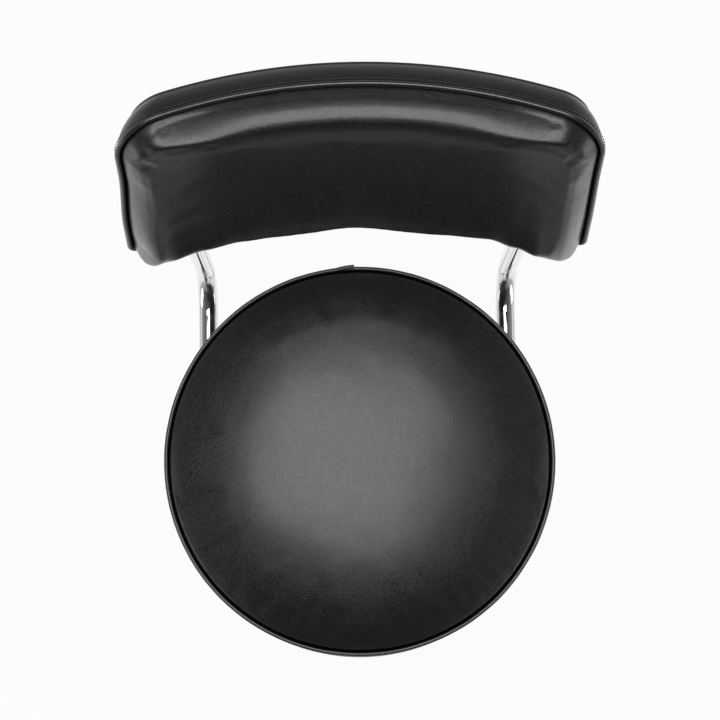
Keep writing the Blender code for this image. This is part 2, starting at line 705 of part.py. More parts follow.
def back_frame(across, up, back):
    """Placement on the backrest: X along its arc to the left, Y up its lean, Z out of its rear."""
    lean_up = Vector((0.0, math.sin(BACK_LEAN), math.cos(BACK_LEAN)))
    lean_front = Vector((0.0, -math.cos(BACK_LEAN), math.sin(BACK_LEAN)))
    centre = Vector((0.0, BACK_SETBACK, SEAM_Z + BACK_RISE)) + BACK_ARC_RADIUS * lean_front
    angle = across / BACK_ARC_RADIUS
    rearward = Vector((math.sin(angle), 0.0, 0.0)) - math.cos(angle) * lean_front
    along = Vector((math.cos(angle), 0.0, 0.0)) + math.sin(angle) * lean_front
    place = centre + up * lean_up + (BACK_ARC_RADIUS + back) * rearward
    frame = Matrix((-along, lean_up, rearward)).transposed().to_4x4()
    frame.translation = place
    return frame


def back_point(across, up, back):
    """A point of the backrest, from flat panel coordinates to its bent and leaned place."""
    return back_frame(across, up, back).translation


def panel_outline(inset, pinch=0.0):
    """Rounded outline of the back panel: points and outward normals, anticlockwise from the right.

    It stands in from the seam by inset all round, and by pinch more at its two ends. Its bottom
    edge has points below all those of its top edge, so that bent faces between them stay flat.
    """
    half_width = BACK_WIDTH / 2.0 - inset - pinch
    half_height = BACK_PANEL_HEIGHT / 2.0 - inset
    top = max(BACK_TOP_CORNER - inset, BACK_LEAST_CORNER)
    bottom = max(BACK_BOTTOM_CORNER - inset, BACK_LEAST_CORNER)
    straight = half_width - top
    outline = []

    def add_corner(side, level, radius, start):
        centre = Vector((side * (half_width - radius), level * (half_height - radius)))
        for step in range(CORNER_STEPS + 1):
            angle = start + math.pi / 2.0 * step / CORNER_STEPS
            normal = Vector((math.cos(angle), math.sin(angle)))
            outline.append((centre + radius * normal, normal))

    def add_run(end, normal, steps, with_end=False):
        begin = outline[-1][0]
        for step in range(1, steps + with_end):
            outline.append((begin.lerp(Vector(end), step / steps), Vector(normal)))

    add_corner(1.0, 1.0, top, 0.0)
    add_run((-straight, half_height), (0.0, 1.0), EDGE_STEPS)
    add_corner(-1.0, 1.0, top, math.pi / 2.0)
    add_run((-half_width, -(half_height - bottom)), (-1.0, 0.0), SIDE_STEPS)
    add_corner(-1.0, -1.0, bottom, math.pi)
    add_run((-straight, -half_height), (0.0, -1.0), 1, with_end=True)
    add_run((straight, -half_height), (0.0, -1.0), EDGE_STEPS, with_end=True)
    add_corner(1.0, -1.0, bottom, math.pi * 1.5)
    add_run((half_width, half_height - top), (1.0, 0.0), SIDE_STEPS)
    return outline


def panel_columns(inset, pinch):
    """Upright columns that fill the outline, right to left: place along it, bottom and top."""
    outline = [point for point, _ in panel_outline(inset, pinch)]
    count = 2 * CORNER_STEPS + EDGE_STEPS + 1
    bottom_edge = outline[count + SIDE_STEPS - 1 :][: count + 2]
    places = [point.x for point in bottom_edge]
    heights = [point.y for point in bottom_edge]
    return [(top.x, float(numpy.interp(top.x, places, heights)), top.y) for top in outline[:count]]


def loops_mesh(name, loops, cap_start, cap_end, closed=False):
    """Skin rows of points, each a closed loop; a cap is a point that closes an end."""
    bm = bmesh.new()
    rows = [[bm.verts.new(point) for point in loop] for loop in loops]
    pairs = list(zip(rows, rows[1:]))
    if closed:
        pairs.append((rows[-1], rows[0]))
    for first, second in pairs:
        for index in range(len(first)):
            after = (index + 1) % len(first)
            bm.faces.new((first[index], first[after], second[after], second[index]))
    for row, tip, flip in ((rows[0], cap_start, True), (rows[-1], cap_end, False)):
        if tip is None:
            continue
        peak = bm.verts.new(tip)
        for index in range(len(row)):
            after = (index + 1) % len(row)
            corners = (row[after], row[index], peak) if flip else (row[index], row[after], peak)
            bm.faces.new(corners)
    bmesh.ops.recalc_face_normals(bm, faces=bm.faces)
    return mesh_from_bmesh(name, bm)


def panel_loop(inset, pinch, back):
    """The back panel's outline as a loop of bent and leaned points."""
    return [back_point(point.x, point.y, back) for point, _ in panel_outline(inset, pinch)]


def pad_rise(share, reach, span):
    """How far the front pad stands forward, and its slope, at a share of the way to its edge."""
    inward = min(1.0, (1.0 - share) * reach / span)
    shoulder = math.sqrt(max(0.0, 1.0 - (1.0 - inward) ** 2))
    rise = BACK_SHOULDER * shoulder + BACK_CROWN * (1.0 - share**2)
    slope = 2.0 * BACK_CROWN * share / reach
    slope += BACK_SHOULDER * (1.0 - inward) / (max(shoulder, LEAST_SHOULDER_SHARE) * span)
    return rise, slope


def pad_loops(depth):
    """Loops of the front pad's skin, edge to centre, moved in by a depth along its normals."""
    loops = []
    for share in PAD_SHARES:
        loop = []
        for point, normal in panel_outline(PANEL_INSET):
            up_share = 0.5 + point.y / BACK_PANEL_HEIGHT
            span = BACK_BOTTOM_SPAN + (BACK_TOP_SPAN - BACK_BOTTOM_SPAN) * up_share
            rise, slope = pad_rise(share, point.dot(normal), span)
            length = math.hypot(1.0, slope)
            flat = share * point - normal * depth * slope / length
            loop.append(back_point(flat.x, flat.y, depth / length - rise))
        loops.append(loop)
    return loops


def bent_board_mesh(name, front, rear):
    """A board bent along the arc; each face is given as its inset, end pinch and place back."""
    loops = []
    columns = zip(panel_columns(*front[:2]), panel_columns(*rear[:2]))
    for (front_place, front_low, front_high), (rear_place, rear_low, rear_high) in columns:
        loops.append(
            [
                back_point(front_place, front_high, front[2]),
                back_point(rear_place, rear_high, rear[2]),
                back_point(rear_place, rear_low, rear[2]),
                back_point(front_place, front_low, front[2]),
            ]
        )
    bm = bmesh.new()
    rows = [[bm.verts.new(point) for point in loop] for loop in loops]
    for first, second in zip(rows, rows[1:]):
        for index in range(4):
            after = (index + 1) % 4
            bm.faces.new((first[index], first[after], second[after], second[index]))
    bm.faces.new(rows[0][::-1])
    bm.faces.new(rows[-1])
    bmesh.ops.recalc_face_normals(bm, faces=bm.faces)
    return mesh_from_bmesh(name, bm)


def build_back_pad(seat):
    """Front panel and the foam behind it."""
    centre_rise = BACK_SHOULDER + BACK_CROWN
    mesh = loops_mesh("back_front_panel", pad_loops(0.0), None, back_point(0.0, 0.0, -centre_rise))
    panel = add_part("back_front_panel", mesh, vinyl("back_front_panel"), seat)
    add_wall(panel, SKIN)

    outline = panel_outline(BACK_SKIN_INSET)
    rear_loops = [
        [back_point(share * point.x, share * point.y, BACK_FOAM_REAR) for point, _ in outline]
        for share in PAD_REAR_SHARES
    ]
    depth = SKIN + PAD_GAP
    tips = (back_point(0.0, 0.0, BACK_FOAM_REAR), back_point(0.0, 0.0, depth - centre_rise))
    mesh = loops_mesh("back_foam", [*rear_loops, *pad_loops(depth)], *tips)
    pad = add_part("back_foam", mesh, foam("back_foam"), seat)
    front = (BACK_BOARD_INSET - GAP, 0.0, BACK_BOARD_FRONT - GAP)
    rear = (BACK_BOARD_INSET - GAP, 0.0, BACK_FOAM_REAR + CUT_OVERRUN)
    cut(pad, "board_recess", bent_board_mesh("board_recess", front, rear))


def build_back_board(seat):
    """Bent plywood board, bored for the tee nuts of the tube bolts."""
    front = (BACK_BOARD_INSET, 0.0, BACK_BOARD_FRONT)
    rear = (BACK_BOARD_INSET, 0.0, BACK_BOARD_REAR)
    mesh = bent_board_mesh("back_board", front, rear)
    board = add_part("back_board", mesh, plywood("back_board"), seat)
    through = (BACK_BOARD_FRONT - CUT_OVERRUN, BACK_BOARD_REAR + CUT_OVERRUN)
    hole = drill_mesh("drill", TEE_BARREL_RADIUS + GAP, *through)
    cut(board, "back_board_holes", repeated_mesh("back_board_holes", hole, back_bolt_places(0.0)))
    sink_floor = BACK_BOARD_FRONT + TEE_FLANGE_THICKNESS + 2.0 * GAP
    sink = drill_mesh("drill", TEE_FLANGE_RADIUS + GAP, BACK_BOARD_FRONT - CUT_OVERRUN, sink_floor)
    cut(board, "back_tee_sinks", repeated_mesh("back_tee_sinks", sink, back_bolt_places(0.0)))


def build_back_shell(seat):
    """Filler round the tubes, boxing, piping and outer panel of the backrest."""
    front = (BACK_SKIN_INSET, 0.0, FILLER_FRONT)
    rear = (BACK_SKIN_INSET + BACK_TAPER, BACK_END_PINCH, FILLER_REAR)
    mesh = bent_board_mesh("back_filler", front, rear)
    filler = add_part("back_filler", mesh, foam("back_filler"), seat)
    width = TUBE_RADIUS + GAP
    low = (-width, -BACK_PANEL_HEIGHT, FILLER_FRONT - CUT_OVERRUN)
    high = (width, TUBE_TOP_PLACE + GAP, FILLER_REAR + CUT_OVERRUN)
    for name, side in (("left", -1.0), ("right", 1.0)):
        channel = block_mesh("filler_channel_" + name, low, high)
        channel.transform(back_frame(side * TUBE_ARC_PLACE, 0.0, 0.0))
        cut(filler, "filler_channel_" + name, channel)

    section = []
    for step in range(BOXING_STEPS + 1):
        angle = math.pi / 2.0 * step / BOXING_STEPS
        turned_in = 1.0 - math.cos(angle)
        back = PANEL_INSET + (BACK_BOX_DEPTH - PANEL_INSET) * math.sin(angle)
        section.append((BACK_TAPER * turned_in, BACK_END_PINCH * turned_in, back))
    section.append((BACK_TAPER + BACK_HEM_WIDTH, BACK_END_PINCH, BACK_BOX_DEPTH))
    mesh = loops_mesh("back_boxing", [panel_loop(*row) for row in section], None, None)
    boxing = add_part("back_boxing", mesh, vinyl("back_boxing"), seat)
    add_wall(boxing, SKIN)
    reach = BACK_BOX_DEPTH
    for name, side in (("left", -1.0), ("right", 1.0)):
        mouth = drill_mesh("tube_mouth_" + name, TUBE_RADIUS + GAP, -reach, reach, SMALL_STEPS)
        place = back_frame(side * TUBE_ARC_PLACE, -BACK_PANEL_HEIGHT / 2.0, TUBE_BACK_PLACE)
        mouth.transform(place @ Matrix.Rotation(math.pi / 2.0, 4, "X"))
        cut(boxing, "tube_mouth_" + name, mouth)

    loops = []
    for step in range(WELT_SIDES):
        angle = math.tau * step / WELT_SIDES
        loops.append(panel_loop(-WELT_RADIUS * math.sin(angle), 0.0, WELT_RADIUS * math.cos(angle)))
    mesh = loops_mesh("back_piping", loops, None, None, closed=True)
    add_part("back_piping", mesh, vinyl("back_piping"), seat)

    front = (OUTER_PANEL_INSET, BACK_END_PINCH, BACK_BOX_DEPTH + GAP)
    rear = (OUTER_PANEL_INSET, BACK_END_PINCH, BACK_BOX_DEPTH + GAP + OUTER_PANEL_THICKNESS)
    mesh = bent_board_mesh("back_outer_panel", front, rear)
    add_part("back_outer_panel", mesh, vinyl("back_outer_panel"), seat)


def seat_bolt_places(height):
    """Where the back tubes are bolted up into the seat board."""
    return [
        Matrix.Translation((side * TUBE_SPACING / 2.0, place, height))
        for side in (-1.0, 1.0)
        for place in SEAT_BOLT_PLACES
    ]


def back_bolt_places(back):
    """Where the back tubes are bolted to the curved board; Z runs out of the rear face."""
    return [
        back_frame(side * TUBE_ARC_PLACE, place, back)
        for side in (-1.0, 1.0)
        for place in BACK_BOLT_PLACES
    ]


def filleted_path(points, radii):
    """Points of a path whose corners are turned with arcs."""
    path = [Vector(points[0])]
    for before, corner, after, radius in zip(points, points[1:], points[2:], radii):
        before, corner, after = Vector(before), Vector(corner), Vector(after)
        incoming, outgoing = (corner - before).normalized(), (after - corner).normalized()
        turn = incoming.angle(outgoing)
        start = corner - incoming * radius * math.tan(turn / 2.0)
        inward = (outgoing - incoming * outgoing.dot(incoming)).normalized()
        centre = start + inward * radius
        steps = max(3, math.ceil(BEND_STEPS * turn / (math.pi / 2.0)))
        for step in range(steps + 1):
            angle = turn * step / steps
            swing = incoming * math.sin(angle) - inward * math.cos(angle)
            path.append(centre + radius * swing)
    path.append(Vector(points[-1]))
    return path


def tube_path(side):
    """Route of a back tube: under the seat, up behind it and into the backrest."""
    half = side * TUBE_SPACING / 2.0
    entry = -BACK_PANEL_HEIGHT / 2.0 - TUBE_ENTRY_DROP
    mouth = back_point(side * TUBE_ARC_PLACE, entry, TUBE_BACK_PLACE)
    points = [
        (half, -TUBE_FRONT_REACH, TUBE_Z),
        (half, TUBE_BEND_SETBACK, TUBE_Z),
        mouth,
        back_point(side * TUBE_ARC_PLACE, TUBE_TOP_PLACE, TUBE_BACK_PLACE),
    ]
    return filleted_path(points, (TUBE_BEND_RADIUS, TUBE_ENTRY_RADIUS))


def swept_tube_mesh(name, path, radius):
    """Sweep an open round tube along a path of points."""
    curve = bpy.data.curves.new(name, "CURVE")
    curve.dimensions = "3D"
    curve.bevel_depth = radius
    curve.bevel_resolution = (TUBE_SIDES - 4) // 2
    curve.use_fill_caps = False
    spline = curve.splines.new("POLY")
    spline.points.add(len(path) - 1)
    for target, point in zip(spline.points, path):
        target.co = (*point, 1.0)
    guide = bpy.data.objects.new(name, curve)
    CUTTERS.objects.link(guide)
    return evaluated_mesh(guide)


def build_back_tube(name, side, seat):
    """One bent chrome tube, drilled for its bolts, with a plug in its front end."""
    path = tube_path(side)
    tube = add_part(name, swept_tube_mesh(name, path, TUBE_RADIUS), chrome(name), seat)
    add_wall(tube, TUBE_WALL)
    reach = TUBE_RADIUS + CUT_OVERRUN
    upright = drill_mesh("drill", BOLT_RADIUS + GAP, TUBE_Z - reach, TUBE_Z + reach)
    places = [place for place in seat_bolt_places(0.0) if place.translation.x * side > 0.0]
    cut(tube, name + "_seat_holes", repeated_mesh(name + "_seat_holes", upright, places))
    places = [place for place in back_bolt_places(TUBE_BACK_PLACE) if place.translation.x * side > 0.0]
    front_hole = drill_mesh("drill", BOLT_RADIUS + GAP, -reach, 0.0)
    cut(tube, name + "_back_holes", repeated_mesh(name + "_back_holes", front_hole, places))
    rear_hole = drill_mesh("drill", BOLT_HEAD_RADIUS + ACCESS_GAP, 0.0, reach)
    cut(tube, name + "_access_holes", repeated_mesh(name + "_access_holes", rear_hole, places))


def build_tube_fittings(seat):
    """Plugs of both back tubes, and their bolts with the tee nuts on them."""
    plug_radius = TUBE_BORE - GAP
    profile = [
        (0.0, PLUG_DEPTH),
        (plug_radius, PLUG_DEPTH),
        (plug_radius, -GAP),
        (TUBE_RADIUS, -GAP),
        (TUBE_RADIUS, PLUG_EDGE - PLUG_HEAD),
        (TUBE_RADIUS - PLUG_EDGE, -PLUG_HEAD),
        (0.0, -PLUG_HEAD),
    ]
    plug = turned_mesh("tube_plug", profile, FASTENER_STEPS)
    inwards = Matrix.Rotation(-math.pi / 2.0, 4, "X")
    places = [
        Matrix.Translation((side * TUBE_SPACING / 2.0, -TUBE_FRONT_REACH, TUBE_Z)) @ inwards
        for side in (-1.0, 1.0)
    ]
    add_copies("tube_plug", plug, black_plastic("tube_plug"), seat, places)

    head_z = TUBE_Z - TUBE_RADIUS - GAP
    grip = SEAT_BOARD_TOP_Z - TEE_FLANGE_THICKNESS - GAP - head_z
    tee_nut = (TEE_FLANGE_RADIUS, TEE_FLANGE_THICKNESS, TEE_BARREL_LENGTH)
    bolt = bolt_mesh("seat_tube_bolt", grip, *tee_nut)
    add_copies("seat_tube_bolt", bolt, zinc("seat_tube_bolt"), seat, seat_bolt_places(head_z))

    head_seat = TUBE_BACK_PLACE - math.sqrt(TUBE_BORE**2 - BOLT_HEAD_RADIUS**2) + GAP
    grip = head_seat - BACK_BOARD_FRONT - TEE_FLANGE_THICKNESS - GAP
    bolt = bolt_mesh("back_tube_bolt", grip, *tee_nut)
    forwards = Matrix.Rotation(math.pi, 4, "X")
    places = [place @ forwards for place in back_bolt_places(head_seat)]
    add_copies("back_tube_bolt", bolt, zinc("back_tube_bolt"), seat, places)


def centre_on_floor(root):
    """Move the whole stool so that the middle of its bounding box is over the origin."""
    bpy.context.view_layer.update()
    graph = bpy.context.evaluated_depsgraph_get()
    corners = []
    for part in COLLECTION.objects:
        if part.type == "MESH":
            solid = part.evaluated_get(graph)
            corners += [solid.matrix_world @ vertex.co for vertex in solid.data.vertices]
    middle_x = (max(corner.x for corner in corners) + min(corner.x for corner in corners)) / 2.0
    middle_y = (max(corner.y for corner in corners) + min(corner.y for corner in corners)) / 2.0
    root.location = (-middle_x, -middle_y, 0.0)
    bpy.context.view_layer.update()
    print("swivel axis at x %.6f y %.6f" % (root.location.x, root.location.y))


def main():
    """Build the stool."""
    clear_scene()
    root = make_empty("stool_origin")
    base = make_empty("base_frame", root)
    cage = make_empty("cage_pivot", root)
    seat = make_empty("seat_pivot", root)
    build_base(base)
    build_swivel(base, cage, seat)
    build_seat(seat)
    build_back_pad(seat)
    build_back_board(seat)
    build_back_shell(seat)
    build_back_tube("back_tube_left", -1.0, seat)
    build_back_tube("back_tube_right", 1.0, seat)
    build_tube_fittings(seat)
    centre_on_floor(root)


main()
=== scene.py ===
"""Swivel bar stool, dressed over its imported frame.

A round padded seat and a bent padded backrest, carried by two chrome tubes, turn on a ball
swivel over a four-legged chrome base. Metres, +Z up, the sitter faces -Y. Each sub-assembly is
built about the swivel axis and moved to its place in the frame when it is put on show.
"""

import json
import logging
import math
from collections.abc import Callable, Iterable, Sequence
from dataclasses import dataclass, field
from enum import Enum
from itertools import product

import bmesh
import bpy
from mathutils import Matrix, Vector, noise
from mathutils.kdtree import KDTree


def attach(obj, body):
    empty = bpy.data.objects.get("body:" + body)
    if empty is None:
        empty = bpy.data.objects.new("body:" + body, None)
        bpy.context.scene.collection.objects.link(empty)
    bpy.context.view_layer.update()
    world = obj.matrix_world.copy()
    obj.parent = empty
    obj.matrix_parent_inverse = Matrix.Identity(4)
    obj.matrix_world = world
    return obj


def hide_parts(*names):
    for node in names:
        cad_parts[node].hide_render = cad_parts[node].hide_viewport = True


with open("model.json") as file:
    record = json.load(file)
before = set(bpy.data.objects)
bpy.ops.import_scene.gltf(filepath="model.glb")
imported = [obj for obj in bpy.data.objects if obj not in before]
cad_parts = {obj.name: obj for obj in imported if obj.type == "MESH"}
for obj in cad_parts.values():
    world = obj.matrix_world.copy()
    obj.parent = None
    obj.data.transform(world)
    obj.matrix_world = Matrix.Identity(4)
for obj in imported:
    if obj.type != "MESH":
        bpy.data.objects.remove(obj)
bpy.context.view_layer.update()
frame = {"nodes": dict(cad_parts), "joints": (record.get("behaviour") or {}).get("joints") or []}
LOG = logging.getLogger("bar_stool")
AXIS = Vector((*frame["joints"][0]["pos_m"][:2], 0.0))

Mesh = bpy.types.Mesh
Material = bpy.types.Material
Node = bpy.types.Node
Socket = bpy.types.NodeSocket

Row = list[Vector]
Span = tuple[float, float]
Profile = list[Span]
Triple = tuple[float, float, float]
Colour = Triple
Wave = Triple
Fade = tuple[float, float, float, float]
Seam = list[tuple[Vector, Vector]]


class Body(Enum):
    """The moving bodies of the frame."""

    BASE = "base"
    CAGE = "cage"
    SEAT = "seat"


class Slot(Enum):
    """The record's material slots."""

    CHROME_TUBE = "chrome_tube"
    CHROME_PLATE = "chrome_plate"
    PLASTIC = "black_plastic"
    ZINC_PLATE = "zinc_plate"
    BEARING = "bearing_steel"
    FASTENER = "zinc_fastener"
    VINYL = "black_vinyl"
    PIPING = "black_piping"


@dataclass(frozen=True)
class Levels:
    """Heights of the stack of parts from the floor to the seat's seam."""

    gap: float = 0.0003
    leg_bottom: float = 0.0063
    leg_top: float = 0.6342
    base_top: float = 0.6375
    lower_plate: float = 0.6378
    balls: float = 0.6471
    upper_plate: float = 0.6539
    board: float = 0.6567
    board_top: float = 0.6717
    hem: float = 0.6552
    tubes: float = 0.6454
    seam: float = 0.7302


LEVELS = Levels()


def lofted(
    rows: Sequence[Row],
    ring: bool = True,
    loop: bool = False,
    start: Vector | None = None,
    end: Vector | None = None,
    crease: float = 38.0,
) -> Mesh:
    """Skin rows of points into one smooth mesh.

    Args:
        rows: Rows of equally many points.
        ring: Whether each row closes on itself.
        loop: Whether the last row is joined to the first.
        start: Tip that closes the first row, if any.
        end: Tip that closes the last row, if any.
        crease: Angle in degrees above which an edge stays sharp.

    Returns:
        The mesh, with its faces pointing outwards.
    """
    width = len(rows[0])
    points = [tuple(point) for row in rows for point in row]
    faces: list[tuple[int, ...]] = []
    pairs = [(index, index + 1) for index in range(len(rows) - 1)]
    if loop:
        pairs.append((len(rows) - 1, 0))
    around = range(width if ring else width - 1)
    for first, second in pairs:
        for index in around:
            after = (index + 1) % width
            low, high = first * width, second * width
            faces.append((low + index, low + after, high + after, high + index))
    for row, tip, flip in ((0, start, True), (len(rows) - 1, end, False)):
        if tip is None:
            continue
        points.append(tuple(tip))
        for index in around:
            corner = (row * width + index, row * width + (index + 1) % width)
            faces.append((*(corner[::-1] if flip else corner), len(points) - 1))
    mesh = bpy.data.meshes.new("form")
    mesh.from_pydata(points, [], faces)
    return finished(mesh, crease)


def finished(mesh: Mesh, crease: float = 38.0) -> Mesh:
    """Point a mesh's faces outwards and shade it smooth up to an angle.

    Args:
        mesh: The mesh, whose doubles are already merged.
        crease: Angle in degrees above which an edge stays sharp.

    Returns:
        The same mesh.
    """
    bm = bmesh.new()
    bm.from_mesh(mesh)
    bmesh.ops.recalc_face_normals(bm, faces=bm.faces)
    bm.to_mesh(mesh)
    bm.free()
    mesh.shade_smooth()
    mesh.set_sharp_from_angle(angle=math.radians(crease))
    return mesh


def evaluated(holder: bpy.types.Object) -> Mesh:
    """Turn an object and its live modifiers into a plain mesh.

    Args:
        holder: The object, which is removed.

    Returns:
        The plain mesh.
    """
    bpy.context.view_layer.update()
    graph = bpy.context.evaluated_depsgraph_get()
    mesh = bpy.data.meshes.new_from_object(
        holder.evaluated_get(graph), preserve_all_data_layers=True, depsgraph=graph
    )
    bpy.data.objects.remove(holder, do_unlink=True)
    return mesh


def held(name: str, mesh: Mesh) -> bpy.types.Object:
    """Put a mesh into the scene.

    Args:
        name: Name of its object.
        mesh: The mesh.

    Returns:
        The object.
    """
    holder = bpy.data.objects.new(name, mesh)
    bpy.context.scene.collection.objects.link(holder)
    return holder


def clamped(value: float) -> float:
    """Return a value held between 0 and 1."""
    return min(1.0, max(0.0, value))


def between(low: float, high: float, share: float) -> float:
    """Return the value at a share of the way from a low to a high."""
    return low + (high - low) * share


def stepped(value: float, start: float, end: float) -> float:
    """Return a smooth step from 0 at the start to 1 at the end."""
    share = clamped((value - start) / (end - start))
    return share * share * (3.0 - 2.0 * share)


def rounded(distance: float, span: float) -> float:
    """Return a quarter-ellipse's height, from 0 at no distance to 1 at its span."""
    return math.sqrt(1.0 - (1.0 - min(1.0, max(0.0004, distance / span))) ** 2)


def mound(across: float, up: float, size: Span) -> float:
    """Return the height at a place of a soft mound, 1 at its middle, by its two half widths."""
    return math.exp(-((across / size[0]) ** 2) - (up / size[1]) ** 2)


def wavering(point: Vector, size: float, seed: float) -> float:
    """Return a slow unevenness between about -1 and 1 at a point, by the size of its waves."""
    return noise.noise(point / size + Vector((seed, seed * 1.7, -seed)))


def waved(point: Vector, waves: Sequence[Wave]) -> float:
    """Return the sum at a point of slow waves, each given by its height, size and seed."""
    return sum(height * wavering(point, size, seed) for height, size, seed in waves)


def turns(steps: int) -> list[float]:
    """Return evenly spaced angles round a full turn."""
    return [math.tau * step / steps for step in range(steps)]


def raised(height: float) -> Vector:
    """Return the point of the upright axis at a height."""
    return Vector((0.0, 0.0, height))


def spoke(turn: float, radius: float = 1.0, height: float = 0.0) -> Vector:
    """Return the point at an angle and a radius about the upright axis, and at a height."""
    return Vector((radius * math.cos(turn), radius * math.sin(turn), height))


def hoop(centre: Vector, across: Vector, upward: Vector, radius: float, sides: int) -> Row:
    """Lay points in a circle.

    Args:
        centre: Its centre.
        across: First direction of its plane.
        upward: Second direction of its plane.
        radius: Its radius.
        sides: Number of points.

    Returns:
        The points.
    """
    return [
        centre + across * (radius * math.cos(turn)) + upward * (radius * math.sin(turn))
        for turn in turns(sides)
    ]


def numbered(prefix: str, count: int) -> list[str]:
    """Return names that end in numbers from 1."""
    return ["%s%d" % (prefix, number) for number in range(1, count + 1)]


def eased(profile: Profile, radius: float, steps: int = 3, closed: bool = True) -> Profile:
    """Round the corners of a flat path.

    Args:
        profile: Corners of the path.
        radius: How far from a corner its rounding starts.
        steps: Facets of each rounding.
        closed: Whether the last corner is joined to the first.

    Returns:
        The rounded path.
    """
    eased_path: Profile = []
    for index, corner in enumerate(profile):
        if not closed and index in (0, len(profile) - 1):
            eased_path.append(corner)
            continue
        middle = Vector(corner)
        to_before = Vector(profile[index - 1]) - middle
        to_after = Vector(profile[(index + 1) % len(profile)]) - middle
        reach = min(radius, to_before.length / 2.2, to_after.length / 2.2)
        start = middle + to_before.normalized() * reach
        end = middle + to_after.normalized() * reach
        for step in range(steps + 1):
            share = step / steps
            point = start.lerp(middle, share).lerp(middle.lerp(end, share), share)
            eased_path.append((point.x, point.y))
    return eased_path


def turned(profile: Profile, steps: int, loop: bool = False, crease: float = 38.0) -> Mesh:
    """Turn a profile round the swivel axis.

    Args:
        profile: Points as radius and height; a radius of zero closes that end.
        steps: Facets round the axis.
        loop: Whether the profile closes on itself.
        crease: Angle in degrees above which an edge stays sharp.

    Returns:
        The turned mesh.
    """
    angles = turns(steps)
    rows = [[spoke(turn, radius, height) for turn in angles] for radius, height in profile if radius > 0.0]
    tips = [raised(height) if radius == 0.0 else None for radius, height in (profile[0], profile[-1])]
    return lofted(rows, loop=loop, start=tips[0], end=tips[1], crease=crease)


def carried_frames(path: Row) -> list[tuple[Vector, Vector, Vector]]:
    """Carry two cross axes along an open path without twist.

    Args:
        path: Points of the path.

    Returns:
        For each point, the point and its two cross axes.
    """
    frames = []
    ahead = (path[1] - path[0]).normalized()
    side = ahead.orthogonal().normalized()
    for index, point in enumerate(path):
        before, after = path[max(index - 1, 0)], path[min(index + 1, len(path) - 1)]
        ahead = (after - before).normalized()
        side = (side - ahead * side.dot(ahead)).normalized()
        frames.append((point, side, ahead.cross(side)))
    return frames


def show(
    name: str,
    mesh: Mesh,
    finish: Material,
    body: Body,
    replaced: Iterable[str] = (),
) -> bpy.types.Object:
    """Put a mesh, built about the swivel axis, on show as a piece of the stool.

    Args:
        name: Name of the piece.
        mesh: Its mesh.
        finish: Its material.
        body: The body that it moves with.
        replaced: CAD nodes that it stands for.

    Returns:
        The piece.
    """
    mesh.name = name
    mesh.transform(Matrix.Translation(AXIS))
    mesh.materials.clear()
    mesh.materials.append(finish)
    piece = held(name, mesh)
    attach(piece, body.value)
    nodes = list(replaced)
    if nodes:
        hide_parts(*nodes)
    LOG.info("%s: %d faces on %s", name, len(mesh.polygons), body.value)
    return piece


class NodeGraph:
    """A node tree whose nodes are laid and joined with short calls."""

    def __init__(self, tree: bpy.types.NodeTree) -> None:
        """Take hold of a tree."""
        self.tree = tree

    def fill(self, node: Node, **inputs: object) -> None:
        """Fill a node's sockets, or join them to other nodes.

        Args:
            node: The node.
            **inputs: Values or outputs for its sockets, each by its number after an n, or by its
                name with underscores for spaces.
        """
        for key, value in inputs.items():
            by_number = key[0] == "n" and key[1:].isdigit()
            socket = node.inputs[int(key[1:]) if by_number else key.replace("_", " ")]
            if isinstance(value, Socket):
                self.tree.links.new(value, socket)
            else:
                socket.default_value = value

    def lay(self, kind: str, settings: dict[str, object] | None = None, **inputs: object) -> Node:
        """Lay a node and fill its sockets.

        Args:
            kind: The node's type.
            settings: Properties of the node.
            **inputs: Values or outputs for its sockets.

        Returns:
            The node.
        """
        node = self.tree.nodes.new(kind)
        for key, value in (settings or {}).items():
            setattr(node, key, value)
        self.fill(node, **inputs)
        return node

    def worked(self, operation: str, *terms: object) -> Socket:
        """Return the result of a Math operation on values or outputs."""
        inputs = {"n%d" % index: term for index, term in enumerate(terms)}
        return self.lay("ShaderNodeMath", {"operation": operation}, **inputs).outputs[0]

    def faded(self, source: Socket, spans: Fade) -> Socket:
        """Return a value mapped smoothly from a start and stop to a low and high."""
        inputs = {"n%d" % index: value for index, value in enumerate((source, *spans))}
        return self.lay("ShaderNodeMapRange", {"interpolation_type": "SMOOTHSTEP"}, **inputs).outputs[0]


